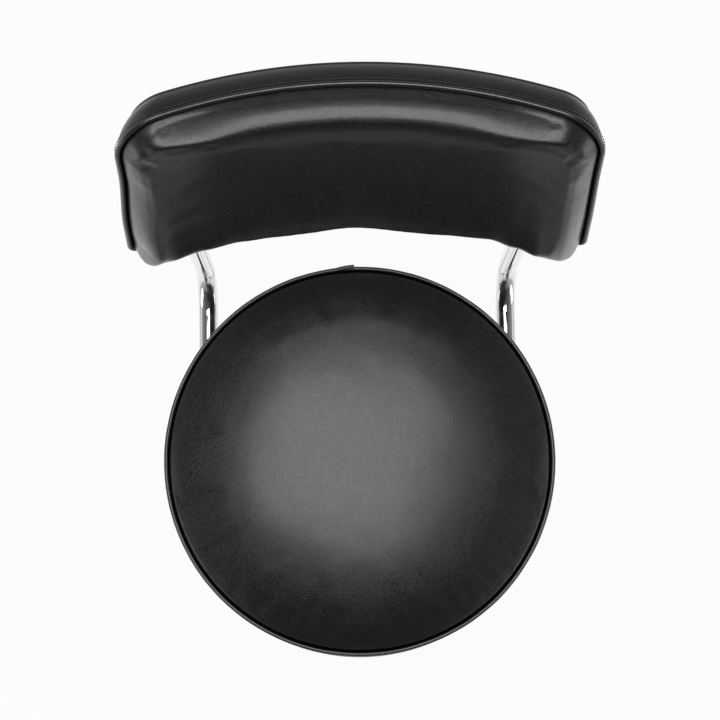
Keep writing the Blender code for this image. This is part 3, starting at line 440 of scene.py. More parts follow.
class Recipe(NodeGraph):
    """Node graph of one material, round a Principled shader."""

    def __init__(self, name: str, **shader: float | Colour) -> None:
        """Start from a Principled shader.

        Args:
            name: Name of the material.
            **shader: Values of the shader's sockets, with underscores for spaces.
        """
        self.material = bpy.data.materials.new(name)
        self.material.use_nodes = True
        super().__init__(self.material.node_tree)
        self.shader = self.tree.nodes["Principled BSDF"]
        colours = {key: (*value, 1.0) for key, value in shader.items() if isinstance(value, tuple)}
        self.fill(self.shader, **{**shader, **colours})
        self.place = self.lay("ShaderNodeTexCoord").outputs["Object"]

    def noise(self, scale: float, detail: float = 2.0, stretch: Triple | None = None) -> Socket:
        """Return noise at so many grains a metre, stretched along the axes if asked."""
        place = self.stretched(stretch) if stretch else self.place
        return self.lay("ShaderNodeTexNoise", Vector=place, Scale=scale, Detail=detail).outputs[0]

    def stretched(self, stretch: Triple) -> Socket:
        """Return the place on the object, scaled along each axis."""
        return self.lay("ShaderNodeMapping", Vector=self.place, Scale=stretch).outputs[0]

    def spread(
        self, source: Socket, low: float, high: float, start: float = 0.3, stop: float = 0.7
    ) -> Socket:
        """Return a value mapped from a start and stop to a low and high."""
        return self.lay("ShaderNodeMapRange", n0=source, n1=start, n2=stop, n3=low, n4=high).outputs[0]

    def blended(self, share: Socket, first: Colour, second: Colour) -> Socket:
        """Return a colour between two.

        Args:
            share: How far it is from the first colour to the second.
            first: Colour at 0.
            second: Colour at 1.

        Returns:
            The colour.
        """
        ramp = self.lay("ShaderNodeValToRGB", n0=share)
        for stop, colour in zip(ramp.color_ramp.elements, (first, second)):
            stop.color = (*colour, 1.0)
        return ramp.outputs[0]

    def relief(self, height: Socket, depth: float, under: Socket | None = None) -> Socket:
        """Return a bumped normal.

        Args:
            height: The pattern of the relief.
            depth: Its depth in metres.
            under: Another relief that it lies over, if any.

        Returns:
            The normal.
        """
        node = self.lay("ShaderNodeBump", Height=height, Distance=depth, Strength=1.0)
        if under:
            self.fill(node, Normal=under)
        return node.outputs[0]

    def finish(self, **sockets: Socket) -> Material:
        """Join outputs to the shader's sockets and return the material."""
        self.fill(self.shader, **sockets)
        return self.material


@dataclass(frozen=True)
class ChromeFinish:
    """Bright plating over polished tube."""

    name: str = "chrome_plating"
    colour: Colour = (0.80, 0.81, 0.82)
    polish: float = 0.035
    haze: float = 0.085
    ripple: float = 0.00004
    haze_grain: float = 70.0
    ripple_grain: float = 28.0

    def material(self) -> Material:
        """Make the plating, with faint haze and the slow ripple of a buffed surface.

        Returns:
            The material.
        """
        recipe = Recipe(self.name, Base_Color=self.colour, Metallic=1.0)
        haze = recipe.spread(recipe.noise(self.haze_grain, 4.0), self.polish, self.haze, 0.35, 0.75)
        relief = recipe.relief(recipe.noise(self.ripple_grain, 1.0), self.ripple)
        return recipe.finish(Roughness=haze, Normal=relief)


@dataclass(frozen=True)
class ZincFinish:
    """Dull plated steel with faint crystals."""

    name: str = "zinc_plating"
    light: Colour = (0.60, 0.60, 0.59)
    dark: Colour = (0.42, 0.43, 0.44)
    crystals: float = 260.0
    smooth: float = 0.26
    rough: float = 0.46
    pit_grain: float = 900.0
    pit_depth: float = 0.00003

    def material(self) -> Material:
        """Make the plating, with crystals that differ in tone and gloss.

        Returns:
            The material.
        """
        recipe = Recipe(self.name, Metallic=1.0)
        cells = recipe.lay("ShaderNodeTexVoronoi", Vector=recipe.place, Scale=self.crystals)
        tone = recipe.lay("ShaderNodeSeparateColor", n0=cells.outputs["Color"]).outputs[0]
        colour = recipe.blended(tone, self.dark, self.light)
        gloss = recipe.spread(tone, self.smooth, self.rough, 0.0, 1.0)
        relief = recipe.relief(recipe.noise(self.pit_grain, 3.0), self.pit_depth)
        return recipe.finish(Base_Color=colour, Roughness=gloss, Normal=relief)


@dataclass(frozen=True)
class VinylFinish:
    """Black upholstery vinyl with a fine pressed grain under a thin glaze."""

    name: str = "black_vinyl"
    colour: Colour = (0.0036, 0.0033, 0.0031)
    worn: Colour = (0.0052, 0.0048, 0.0045)
    grain: float = 950.0
    depth: float = 0.00007
    smooth: float = 0.235
    rough: float = 0.305
    gloss: float = 0.56
    tint: Colour = (1.0, 0.975, 0.94)
    glaze: float = 0.50
    glaze_haze: float = 0.26
    wander: float = 0.0006
    groove: float = 0.22
    worn_grain: float = 55.0
    slow_grain: float = 120.0
    slow_depth: float = 0.00008
    pore_grain: float = 3200.0

    def material(self) -> Material:
        """Make the vinyl: pebbles between pressed creases, over a slow unevenness.

        Returns:
            The material.
        """
        recipe = Recipe(
            self.name,
            Specular_IOR_Level=self.gloss,
            Specular_Tint=self.tint,
            Coat_Weight=self.glaze,
            Coat_Roughness=self.glaze_haze,
        )
        wander = recipe.noise(self.grain / 3.0, 1.0)
        bent = recipe.lay(
            "ShaderNodeVectorMath",
            {"operation": "MULTIPLY_ADD"},
            n0=recipe.lay("ShaderNodeCombineXYZ", n0=wander, n1=wander, n2=wander).outputs[0],
            n1=(self.wander,) * 3,
            n2=recipe.place,
        ).outputs[0]
        cells = recipe.lay(
            "ShaderNodeTexVoronoi", {"feature": "DISTANCE_TO_EDGE"}, Vector=bent, Scale=self.grain
        ).outputs[0]
        pebble = recipe.spread(cells, 0.0, 1.0, 0.0, self.groove)
        colour = recipe.blended(recipe.noise(self.worn_grain, 4.0), self.colour, self.worn)
        dull = recipe.spread(pebble, self.rough, self.smooth, 0.0, 1.0)
        slow = recipe.relief(recipe.noise(self.slow_grain, 3.0), self.slow_depth)
        relief = recipe.relief(pebble, self.depth, slow)
        fine = recipe.relief(recipe.noise(self.pore_grain, 1.0), self.depth / 4.0, relief)
        return recipe.finish(Base_Color=colour, Roughness=dull, Normal=fine, Coat_Normal=slow)


@dataclass(frozen=True)
class PlyFinish:
    """Birch plywood: figured faces and striped edges."""

    name: str = "plywood"
    light: Colour = (0.62, 0.45, 0.27)
    dark: Colour = (0.42, 0.27, 0.14)
    glue: Colour = (0.20, 0.12, 0.06)
    ply: float = 0.00136
    dull: float = 0.62
    gloss: float = 0.3
    figure: Triple = (1.5, 22.0, 22.0)
    pore: Triple = (1.0, 8.0, 8.0)
    pore_grain: float = 500.0
    pore_depth: float = 0.00012

    def material(self) -> Material:
        """Make the plywood, with its plies stacked along Z.

        Returns:
            The material.
        """
        recipe = Recipe(self.name, Roughness=self.dull, Specular_IOR_Level=self.gloss)
        figure = recipe.lay(
            "ShaderNodeTexWave",
            {"wave_type": "BANDS", "bands_direction": "Y"},
            Vector=recipe.stretched(self.figure),
            Scale=1.0,
            Distortion=9.0,
            Detail=3.0,
            Detail_Scale=1.2,
        ).outputs["Fac"]
        face = recipe.blended(figure, self.dark, self.light)
        height = recipe.lay("ShaderNodeSeparateXYZ", n0=recipe.place).outputs[2]
        layer = recipe.worked("PINGPONG", height, self.ply)
        edge = recipe.blended(recipe.spread(layer, 0.0, 1.0, 0.0, self.ply), self.glue, self.light)
        normal = recipe.lay("ShaderNodeNewGeometry").outputs["Normal"]
        flat = recipe.worked("ABSOLUTE", recipe.lay("ShaderNodeSeparateXYZ", n0=normal).outputs[2])
        share = recipe.spread(flat, 0.0, 1.0, 0.55, 0.65)
        mixed = recipe.lay("ShaderNodeMix", {"data_type": "RGBA"}, n0=share, n6=edge, n7=face)
        relief = recipe.relief(recipe.noise(self.pore_grain, 3.0, self.pore), self.pore_depth)
        return recipe.finish(Base_Color=mixed.outputs[2], Normal=relief)


@dataclass(frozen=True)
class MouldedFinish:
    """Moulded plastic or thread, with a fine uneven surface."""

    name: str
    colour: Colour
    second: Colour
    roughness: float
    grain: float
    depth: float = 0.00005

    def material(self) -> Material:
        """Make the finish, mottled between its two colours.

        Returns:
            The material.
        """
        recipe = Recipe(self.name, Roughness=self.roughness)
        colour = recipe.blended(recipe.noise(self.grain / 6.0, 3.0), self.colour, self.second)
        relief = recipe.relief(recipe.noise(self.grain, 3.0), self.depth)
        return recipe.finish(Base_Color=colour, Normal=relief)


class Finishes:
    """Every finish on the stool, made once."""

    def __init__(self) -> None:
        """Make the materials."""
        self.chrome = ChromeFinish().material()
        self.bearing = ChromeFinish("bearing_steel", (0.62, 0.62, 0.63), 0.05, 0.12, 0.0).material()
        self.zinc = ZincFinish().material()
        self.weld = ZincFinish(
            "weld_bead", (0.66, 0.66, 0.67), (0.45, 0.44, 0.44), 700.0, 0.16, 0.34
        ).material()
        self.staple = ZincFinish("staple_wire", (0.70,) * 3, (0.50,) * 3, 500.0, 0.22, 0.35).material()
        self.vinyl = VinylFinish().material()
        self.piping = VinylFinish(
            "black_piping", smooth=0.25, rough=0.33, depth=0.00004, gloss=0.80
        ).material()
        self.boxing = VinylFinish("black_boxing", smooth=0.40, rough=0.50, gloss=0.60).material()
        self.plywood = PlyFinish().material()
        self.plastic = MouldedFinish("black_plastic", (0.018,) * 3, (0.026,) * 3, 0.42, 1400.0).material()
        thread = MouldedFinish("black_thread", (0.035, 0.034, 0.033), (0.075, 0.073, 0.070), 0.45, 2600.0)
        self.thread = thread.material()


class PatternTree(NodeGraph):
    """A Geometry Nodes tree with named inputs, run on a base mesh into a plain mesh."""

    def __init__(self, name: str) -> None:
        """Start an empty tree.

        Args:
            name: Name of the tree.
        """
        super().__init__(bpy.data.node_groups.new(name, "GeometryNodeTree"))
        for way in ("INPUT", "OUTPUT"):
            self.tree.interface.new_socket(name="Geometry", in_out=way, socket_type="NodeSocketGeometry")
        self.entry = self.tree.nodes.new("NodeGroupInput")
        self.exit = self.tree.nodes.new("NodeGroupOutput")
        self.identifiers: dict[str, str] = {}

    def take(self, kind: str, *names: str) -> list[Socket]:
        """Add named inputs of one kind.

        Args:
            kind: Their kind, such as Float.
            *names: Their names.

        Returns:
            The inputs, as outputs of the tree's entry.
        """
        for name in names:
            made = self.tree.interface.new_socket(name=name, in_out="INPUT", socket_type="NodeSocket" + kind)
            self.identifiers[name] = made.identifier
        return [self.entry.outputs[name] for name in names]

    def close(self, kind: str, **copies: object) -> None:
        """End the tree: copies on points, made real and given their finish.

        Args:
            kind: The type of the node that copies.
            **copies: Values or outputs for its sockets.
        """
        real = self.lay("GeometryNodeRealizeInstances", Geometry=self.lay(kind, **copies).outputs[0])
        finish = self.take("Material", "Finish")[0]
        done = self.lay("GeometryNodeSetMaterial", Geometry=real.outputs[0], Material=finish)
        self.fill(self.exit, n0=done.outputs[0])

    def run(self, base: Mesh, values: dict[str, object]) -> Mesh:
        """Run the tree on a base mesh.

        Args:
            base: The mesh that the tree starts from.
            values: A value for each named input.

        Returns:
            The plain mesh.
        """
        holder = held("pattern", base)
        modifier = holder.modifiers.new("pattern", "NODES")
        modifier.node_group = self.tree
        for key, value in values.items():
            modifier[self.identifiers[key]] = value
        return evaluated(holder)


class RoundPattern:
    """Copies of a fastener, ball or staple in a circle about the swivel axis."""

    def __init__(self, seed: int = 7) -> None:
        """Build the tree.

        Args:
            seed: The seed of its stagger.
        """
        plan = self.plan = PatternTree("round_pattern")
        count = plan.take("Int", "Count")[0]
        reach, start, height, stagger = plan.take("Float", "Reach", "Start", "Height", "Stagger")
        master = plan.take("Object", "Master")[0]
        circle = plan.lay("GeometryNodeMeshCircle", Vertices=count, Radius=reach).outputs[0]
        lift = plan.lay("ShaderNodeCombineXYZ", Z=height).outputs[0]
        turn = plan.lay("ShaderNodeCombineXYZ", Z=start).outputs[0]
        placed = plan.lay("GeometryNodeTransform", n0=circle, Translation=lift, Rotation=turn).outputs[0]
        shake = plan.lay("FunctionNodeRandomValue", n2=-1.0, n3=1.0, Seed=seed).outputs[1]
        swing = plan.lay("ShaderNodeCombineXYZ", Z=plan.worked("MULTIPLY", shake, stagger)).outputs[0]
        place = plan.lay("GeometryNodeInputPosition").outputs[0]
        facing = plan.lay("FunctionNodeAlignRotationToVector", {"axis": "X", "pivot_axis": "Z"}, Vector=place)
        shaken = plan.lay(
            "FunctionNodeRotateRotation", {"rotation_space": "LOCAL"}, n0=facing.outputs[0], n1=swing
        ).outputs[0]
        source = plan.lay("GeometryNodeObjectInfo", Object=master).outputs["Geometry"]
        plan.close("GeometryNodeInstanceOnPoints", Points=placed, Instance=source, Rotation=shaken)

    def make(
        self,
        master: Mesh,
        finish: Material,
        count: int,
        reach: float,
        height: float,
        start: float = 0.0,
        stagger: float = 0.0,
    ) -> Mesh:
        """Make the ring of copies.

        Args:
            master: What is copied; its X points away from the axis.
            finish: Material of the copies.
            count: Number of copies.
            reach: Their distance from the axis.
            height: Their height.
            start: Angle of the first, in radians.
            stagger: Most that a copy is turned about its own Z, in radians.

        Returns:
            One plain mesh.
        """
        source = held("master", master)
        values = {"Count": count, "Reach": reach, "Start": start, "Height": height, "Stagger": stagger}
        values.update({"Master": source, "Finish": finish})
        mesh = self.plan.run(bpy.data.meshes.new("base"), values)
        bpy.data.objects.remove(source, do_unlink=True)
        return mesh


class RowPattern:
    """Stitches or weld ripples laid along a path."""

    def __init__(self, seed: int = 3) -> None:
        """Build the tree.

        Args:
            seed: The seed of its unevenness.
        """
        plan = self.plan = PatternTree("row_pattern")
        pitch, length, width, height, uneven = plan.take(
            "Float", "Pitch", "Length", "Width", "Height", "Unevenness"
        )
        path = plan.lay("GeometryNodeMeshToCurve", n0=plan.entry.outputs[0]).outputs[0]
        even = plan.lay("GeometryNodeResampleCurve", {"mode": "LENGTH"}, Curve=path, Length=pitch).outputs[0]
        bead = plan.lay("GeometryNodeMeshUVSphere", Segments=8, Rings=5, Radius=0.5).outputs[0]
        ahead = plan.lay("GeometryNodeInputTangent").outputs[0]
        lie = plan.lay(
            "GeometryNodeInputNamedAttribute", {"data_type": "FLOAT_VECTOR"}, Name="lie"
        ).outputs[0]
        along = plan.lay("FunctionNodeAlignRotationToVector", {"axis": "X"}, Vector=ahead).outputs[0]
        upright = plan.lay(
            "FunctionNodeAlignRotationToVector", {"axis": "Z", "pivot_axis": "X"}, Rotation=along, Vector=lie
        ).outputs[0]
        low, high = plan.worked("SUBTRACT", 1.0, uneven), plan.worked("ADD", 1.0, uneven)
        shake = plan.lay("FunctionNodeRandomValue", n2=low, n3=high, Seed=seed).outputs[1]
        size = plan.lay("ShaderNodeCombineXYZ", X=length, Y=width, Z=height).outputs[0]
        scale = plan.lay("ShaderNodeVectorMath", {"operation": "SCALE"}, Vector=size, Scale=shake).outputs[0]
        plan.close("GeometryNodeInstanceOnPoints", Points=even, Instance=bead, Rotation=upright, Scale=scale)

    def make(
        self,
        paths: Sequence[Seam],
        finish: Material,
        pitch: float,
        size: Triple,
        uneven: float = 0.05,
        closed: bool = False,
    ) -> Mesh:
        """Lay the rows.

        Args:
            paths: Paths of points, each with the normal of the surface there.
            finish: Material of the beads.
            pitch: Distance from one bead to the next.
            size: Length, width and height of a bead.
            uneven: Share by which beads differ in size.
            closed: Whether each path closes on itself.

        Returns:
            One plain mesh.
        """
        points: list[Vector] = []
        normals: list[Vector] = []
        edges: list[tuple[int, int]] = []
        for path in paths:
            first = len(points)
            points += [point for point, _ in path]
            normals += [normal for _, normal in path]
            edges += [(index, index + 1) for index in range(first, len(points) - 1)]
            if closed:
                edges.append((len(points) - 1, first))
        base = bpy.data.meshes.new("path")
        base.from_pydata([tuple(point) for point in points], edges, [])
        lie = base.attributes.new("lie", "FLOAT_VECTOR", "POINT")
        for index, normal in enumerate(normals):
            lie.data[index].vector = normal
        length, width, height = size
        values = {"Pitch": pitch, "Length": length, "Width": width, "Height": height, "Unevenness": uneven}
        mesh = self.plan.run(base, {**values, "Finish": finish})
        mesh.shade_smooth()
        return mesh


@dataclass(frozen=True)
class Hardware:
    """Stock fasteners: their sizes and their meshes."""

    bolt: float = 0.003
    bolt_head: float = 0.0055
    bolt_head_height: float = 0.0035
    bolt_chamfer: float = 0.0004
    nut: float = 0.0058
    nut_height: float = 0.005
    nut_chamfer: float = 0.0005
    nut_threads: float = 5.0
    thread_crest: float = 0.98
    thread_root: float = 0.84
    thread_end: float = 0.7
    cone: float = 0.84
    screw: float = 0.002
    screw_head: float = 0.0042
    screw_head_height: float = 0.0024
    screw_head_form: Profile = (
        (1.0, 0.0), (1.0, 0.35), (0.94, 0.72), (0.78, 0.93), (0.52, 1.0), (0.34, 0.98), (0.2, 0.7),
    )
    screw_bite: float = 0.011
    cross_edge: int = 14
    staple_crown: float = 0.0055
    staple_wire: float = 0.0007
    staple_section: Profile = ((-1.0, -0.6), (-0.6, -1.0), (0.6, -1.0), (1.0, -0.6), (1.0, 1.0), (-1.0, 1.0))

    def hexagon(self, reach: float, low: float, high: float, chamfer: float) -> Mesh:
        """Make a hexagonal head or nut whose ends are turned to a cone.

        Args:
            reach: Distance from its axis to a corner.
            low: Height of its lower end.
            high: Height of its upper end.
            chamfer: Height of each cone.

        Returns:
            The mesh.
        """
        rows = []
        for share, height in (
            (self.cone, low), (1.0, low + chamfer), (1.0, high - chamfer), (self.cone, high)
        ):
            row = []
            for turn in turns(24):
                flat = math.cos(math.pi / 6.0) / math.cos((turn % (math.pi / 3.0)) - math.pi / 6.0)
                row.append(spoke(turn, reach * min(flat, share), height))
            rows.append(row)
        return lofted(rows, start=raised(low), end=raised(high), crease=25.0)

    def hex_bolt(self, grip: float) -> Mesh:
        """Make a bolt whose head stands above z = 0, with its nut at the far end of the grip.

        Args:
            grip: Thickness of what it holds.

        Returns:
            The bolt and its nut.
        """
        low = -grip - self.nut_height
        head = self.hexagon(self.bolt_head, 0.0, self.bolt_head_height, self.bolt_chamfer)
        nut = self.hexagon(self.nut, low, -grip, self.nut_chamfer)
        tail = low - self.bolt
        crest, root = self.bolt * self.thread_crest, self.bolt * self.thread_root
        thread: Profile = [(0.0, tail), (self.bolt * self.thread_end, tail)]
        pitch = self.nut_height / self.nut_threads
        height = tail + pitch / 2.0
        while height < -grip:
            thread += [(crest, height), (root, height + pitch / 2.0)]
            height += pitch
        thread += [(crest, -grip), (crest, 0.0), (0.0, 0.0)]
        return joined([head, nut, turned(thread, 20, crease=60.0)])

    def pan_screw(self) -> Mesh:
        """Make a wood screw: its pan head below z = 0, a cross recess in it and its shank above.

        Returns:
            The screw.
        """
        depth = self.screw_head_height
        rows: list[Row] = []
        for share, drop in self.screw_head_form:
            row = []
            for turn in turns(32):
                cross = max(abs(math.cos(turn)), abs(math.sin(turn))) ** self.cross_edge
                low = drop
                if share < 0.3:
                    low = 1.0 - 0.62 * cross - 0.1
                elif share < 0.5:
                    low = 1.0 - (1.0 - drop) * cross
                elif share < 0.6:
                    low = 1.0 - 0.55 * cross
                row.append(spoke(turn, share * self.screw_head, -low * depth))
            rows.append(row)
        length = 0.0025 + 2.0 * LEVELS.gap + self.screw_bite
        shank = [(self.screw, 0.0), (self.screw, length - self.screw), (0.0, length)]
        head = lofted(rows[::-1], start=raised(-depth * 0.3), crease=50.0)
        return joined([head, turned(shank, 16, crease=50.0)])

    def staple(self) -> Mesh:
        """Make the crown of a staple, its length across X, standing below z = 0.

        Returns:
            The staple.
        """
        half, wire = self.staple_crown / 2.0, self.staple_wire
        path = [
            (-half, 0.0), (-half + wire / 3.0, -wire * 0.8), (half - wire / 3.0, -wire * 0.8), (half, 0.0)
        ]
        rows = [
            [Vector((wire * across / 2.0, y, z + wire * 0.35 * up)) for across, up in self.staple_section]
            for y, z in path
        ]
        middle = [sum(row, Vector()) / len(row) for row in (rows[0], rows[-1])]
        return lofted(rows, start=middle[0], end=middle[1])


def joined(meshes: Sequence[Mesh]) -> Mesh:
    """Join meshes into one.

    Args:
        meshes: The meshes, which are removed.

    Returns:
        The joined mesh.
    """
    bm = bmesh.new()
    for mesh in meshes:
        bm.from_mesh(mesh)
        bpy.data.meshes.remove(mesh)
    result = bpy.data.meshes.new("form")
    bm.to_mesh(result)
    bm.free()
    return result


@dataclass(frozen=True)
class Kit:
    """What the sub-assemblies are made with: the finishes, the patterns and the fasteners."""

    finishes: Finishes = field(default_factory=Finishes)
    circle: RoundPattern = field(default_factory=RoundPattern)
    row: RowPattern = field(default_factory=RowPattern)
    stock: Hardware = field(default_factory=Hardware)


@dataclass(frozen=True)
class ChromeBase:
    """Four splayed tube legs with glides, two rings and a top plate, welded together."""

    leg_radius: float = 0.0127
    leg_wall: float = 0.0015
    leg_ease: float = 0.0005
    leg_top_reach: float = 0.084
    foot_reach: float = 0.188
    glide_radius: float = 0.0145
    glide_height: float = 0.006
    glide_plug: float = 0.016
    glide_waist: Triple = (0.62, 0.56, 0.50)
    glide_ease: float = 0.0011
    foot_ring: float = 0.300
    foot_ring_tube: float = 0.0095
    upper_ring: float = 0.560
    upper_ring_tube: float = 0.0065
    plate_radius: float = 0.105
    plate_thickness: float = 0.003
    plate_rim: float = 0.014
    plate_bore: float = 0.022
    plate_bend: Span = (0.0045, 0.0018)
    plate_ease: float = 0.0004
    bolt_reach: float = 0.085
    bolt_stagger: float = 0.5
    swivel_plate: float = 0.0025
    weld_stand: float = 0.0006
    weld_lift: float = 0.52
    weld_set: float = 0.86
    weld_width: float = 0.62
    weld_dip: float = 0.30
    weld_curl: float = 0.0012
    weld_lean: float = 1.2
    top_weld_drop: float = 0.0012
    weld_uneven: float = 0.12
    ring_weld_pitch: float = 0.0011
    ring_weld: Triple = (0.0024, 0.0042, 0.0030)
    top_weld_pitch: float = 0.0012
    top_weld: Triple = (0.0025, 0.0040, 0.0028)
    corners: tuple[tuple[str, float], ...] = (
        ("rear_right", 45.0),
        ("rear_left", 135.0),
        ("front_left", 225.0),
        ("front_right", 315.0),
    )

    @property
    def slope(self) -> float:
        """How far a leg leans out for each metre down."""
        return (self.foot_reach - self.leg_top_reach) / (LEVELS.leg_top - LEVELS.leg_bottom)

    def reach(self, height: float) -> float:
        """Return how far a leg's centre is from the axis at a height."""
        return self.foot_reach - self.slope * (height - LEVELS.leg_bottom)

    def splayed(self, mesh: Mesh, degrees: float) -> Mesh:
        """Shear an upright form to a leg's lean and move it to its corner.

        Args:
            mesh: The form, turned about Z.
            degrees: Angle of the corner.

        Returns:
            The same mesh.
        """
        turn = math.radians(degrees)
        lean = Matrix.Identity(4)
        lean[0][2] = -self.slope * math.cos(turn)
        lean[1][2] = -self.slope * math.sin(turn)
        foot = spoke(turn, self.foot_reach, LEVELS.leg_bottom)
        mesh.transform(Matrix.Translation(foot) @ lean @ Matrix.Translation(raised(-LEVELS.leg_bottom)))
        return mesh

    def leg(self, degrees: float) -> Mesh:
        """Make one leg: an open tube with its cut edges eased.

        Args:
            degrees: Angle of its corner.

        Returns:
            The leg.
        """
        outer, inner = self.leg_radius, self.leg_radius - self.leg_wall
        low, high = LEVELS.leg_bottom, LEVELS.leg_top
        profile = [(inner, low), (outer, low), (outer, high), (inner, high)]
        return self.splayed(turned(eased(profile, self.leg_ease), 56, loop=True), degrees)

    def glide(self, degrees: float) -> Mesh:
        """Make one glide: a foot with a waist line, and the plug that holds it in the leg.

        Args:
            degrees: Angle of its corner.

        Returns:
            The glide.
        """
        plug = self.leg_radius - self.leg_wall - LEVELS.gap
        plug_top = LEVELS.leg_bottom + self.glide_plug
        foot, height = self.glide_radius, self.glide_height
        above, waist, below = self.glide_waist
        profile = [
            (0.0, plug_top),
            (plug - 0.002, plug_top),
            (plug, plug_top - 0.003),
            (plug, height),
            (foot - 0.0004, height),
            (foot, height * above),
            (foot - 0.0005, height * waist),
            (foot, height * below),
            (foot - 0.0003, 0.0),
            (0.0, 0.0),
        ]
        return self.splayed(turned(eased(profile, self.glide_ease, 4, closed=False), 48), degrees)

    def ring_radius(self, height: float, tube: float) -> float:
        """Return the radius of a ring's centre line, laid round the outside of the legs."""
        return self.reach(height) + self.leg_radius + (tube + LEVELS.gap) * math.hypot(1.0, self.slope)

    def ring(self, height: float, tube: float) -> Mesh:
        """Make one ring of round tube.

        Args:
            height: Height of its centre line.
            tube: Radius of its tube.

        Returns:
            The ring.
        """
        radius = self.ring_radius(height, tube)
        profile = [(radius + tube * math.cos(turn), height + tube * math.sin(turn)) for turn in turns(28)]
        return turned(profile, 192, loop=True)

    def plate(self) -> Mesh:
        """Make the round top plate with its turned-down rim.

        Returns:
            The plate.
        """
        top, edge = LEVELS.base_top, self.plate_radius
        under, inner = top - self.plate_thickness, self.plate_radius - self.plate_thickness
        rim = top - self.plate_rim
        outside = eased(
            [(self.plate_bore, top), (edge, top), (edge, rim)], self.plate_bend[0], 8, closed=False
        )
        inside = eased(
            [(inner, rim), (inner, under), (self.plate_bore, under)], self.plate_bend[1], 5, closed=False
        )
        lip = eased([(edge, rim), (inner, rim)], self.plate_ease)
        return turned(outside[:-1] + lip[1:-1] + inside[1:], 128, loop=True)

    def ring_welds(self, height: float, tube: float) -> list[Seam]:
        """Find the short welds above and below a ring, where it crosses each leg.

        Args:
            height: Height of the ring's centre line.
            tube: Radius of its tube.

        Returns:
            A path for each weld.
        """
        paths = []
        radius = self.ring_radius(height, tube)
        for (_, degrees), side in product(self.corners, (-1.0, 1.0)):
            level = height + side * tube * self.weld_lift
            reach = (
                self.reach(level) + self.leg_radius + radius - tube * self.weld_set
            ) / 2.0 + self.weld_stand
            spread = self.leg_radius * self.weld_width / reach
            path = []
            for step in range(13):
                share = 2.0 * step / 12 - 1.0
                outward = spoke(math.radians(degrees) + spread * share)
                dip = side * tube * self.weld_dip * (1.0 - share * share)
                place = outward * (reach + self.weld_curl * share * share) + raised(level + dip)
                path.append((place, (outward + raised(side * self.weld_lean)).normalized()))
            paths.append(path)
        return paths

    def plate_welds(self) -> list[Seam]:
        """Find the welds round the top of each leg, under the plate.

        Returns:
            A closed path for each weld.
        """
        paths = []
        level = LEVELS.leg_top - self.top_weld_drop
        for _, degrees in self.corners:
            centre = spoke(math.radians(degrees)) * self.reach(level)
            path = []
            for around in turns(32):
                outward = spoke(around)
                place = centre + outward * (self.leg_radius + self.weld_stand) + raised(level)
                path.append((place, (outward - raised(1.0)).normalized()))
            paths.append(path)
        return paths

    def build(self, kit: Kit) -> None:
        """Build and dress every piece of the base.

        Args:
            kit: The finishes, the patterns and the fasteners.
        """
        finishes, circle, row = kit.finishes, kit.circle, kit.row
        chrome, weld = finishes.chrome, finishes.weld
        for corner, degrees in self.corners:
            name = "leg_tube_" + corner
            show(name, self.leg(degrees), chrome, Body.BASE, ["leg_" + corner])
            name = "leg_glide_" + corner
            show(name, self.glide(degrees), finishes.plastic, Body.BASE, ["glide_" + corner])
        for name, node, height, tube in (
            ("foot_rest_ring", "foot_ring", self.foot_ring, self.foot_ring_tube),
            ("bracing_ring", "upper_ring", self.upper_ring, self.upper_ring_tube),
        ):
            show(name, self.ring(height, tube), chrome, Body.BASE, [node])
            name += "_welds"
            paths = self.ring_welds(height, tube)
            welds = row.make(paths, weld, self.ring_weld_pitch, self.ring_weld, self.weld_uneven)
            show(name, welds, weld, Body.BASE)
        name = "top_plate_pressing"
        show(name, self.plate(), chrome, Body.BASE, ["base_top_plate"])
        name, paths = "leg_top_welds", self.plate_welds()
        welds = row.make(paths, weld, self.top_weld_pitch, self.top_weld, self.weld_uneven, closed=True)
        show(name, welds, weld, Body.BASE)
        grip = self.swivel_plate + self.plate_thickness + 3.0 * LEVELS.gap
        seat = LEVELS.lower_plate + self.swivel_plate + LEVELS.gap
        name, bolt = "base_hex_bolts", kit.stock.hex_bolt(grip)
        bolts = circle.make(bolt, finishes.zinc, 4, self.bolt_reach, seat, stagger=self.bolt_stagger)
        show(name, finished(bolts, 28.0), finishes.zinc, Body.BASE, numbered("base_bolt_", 4))


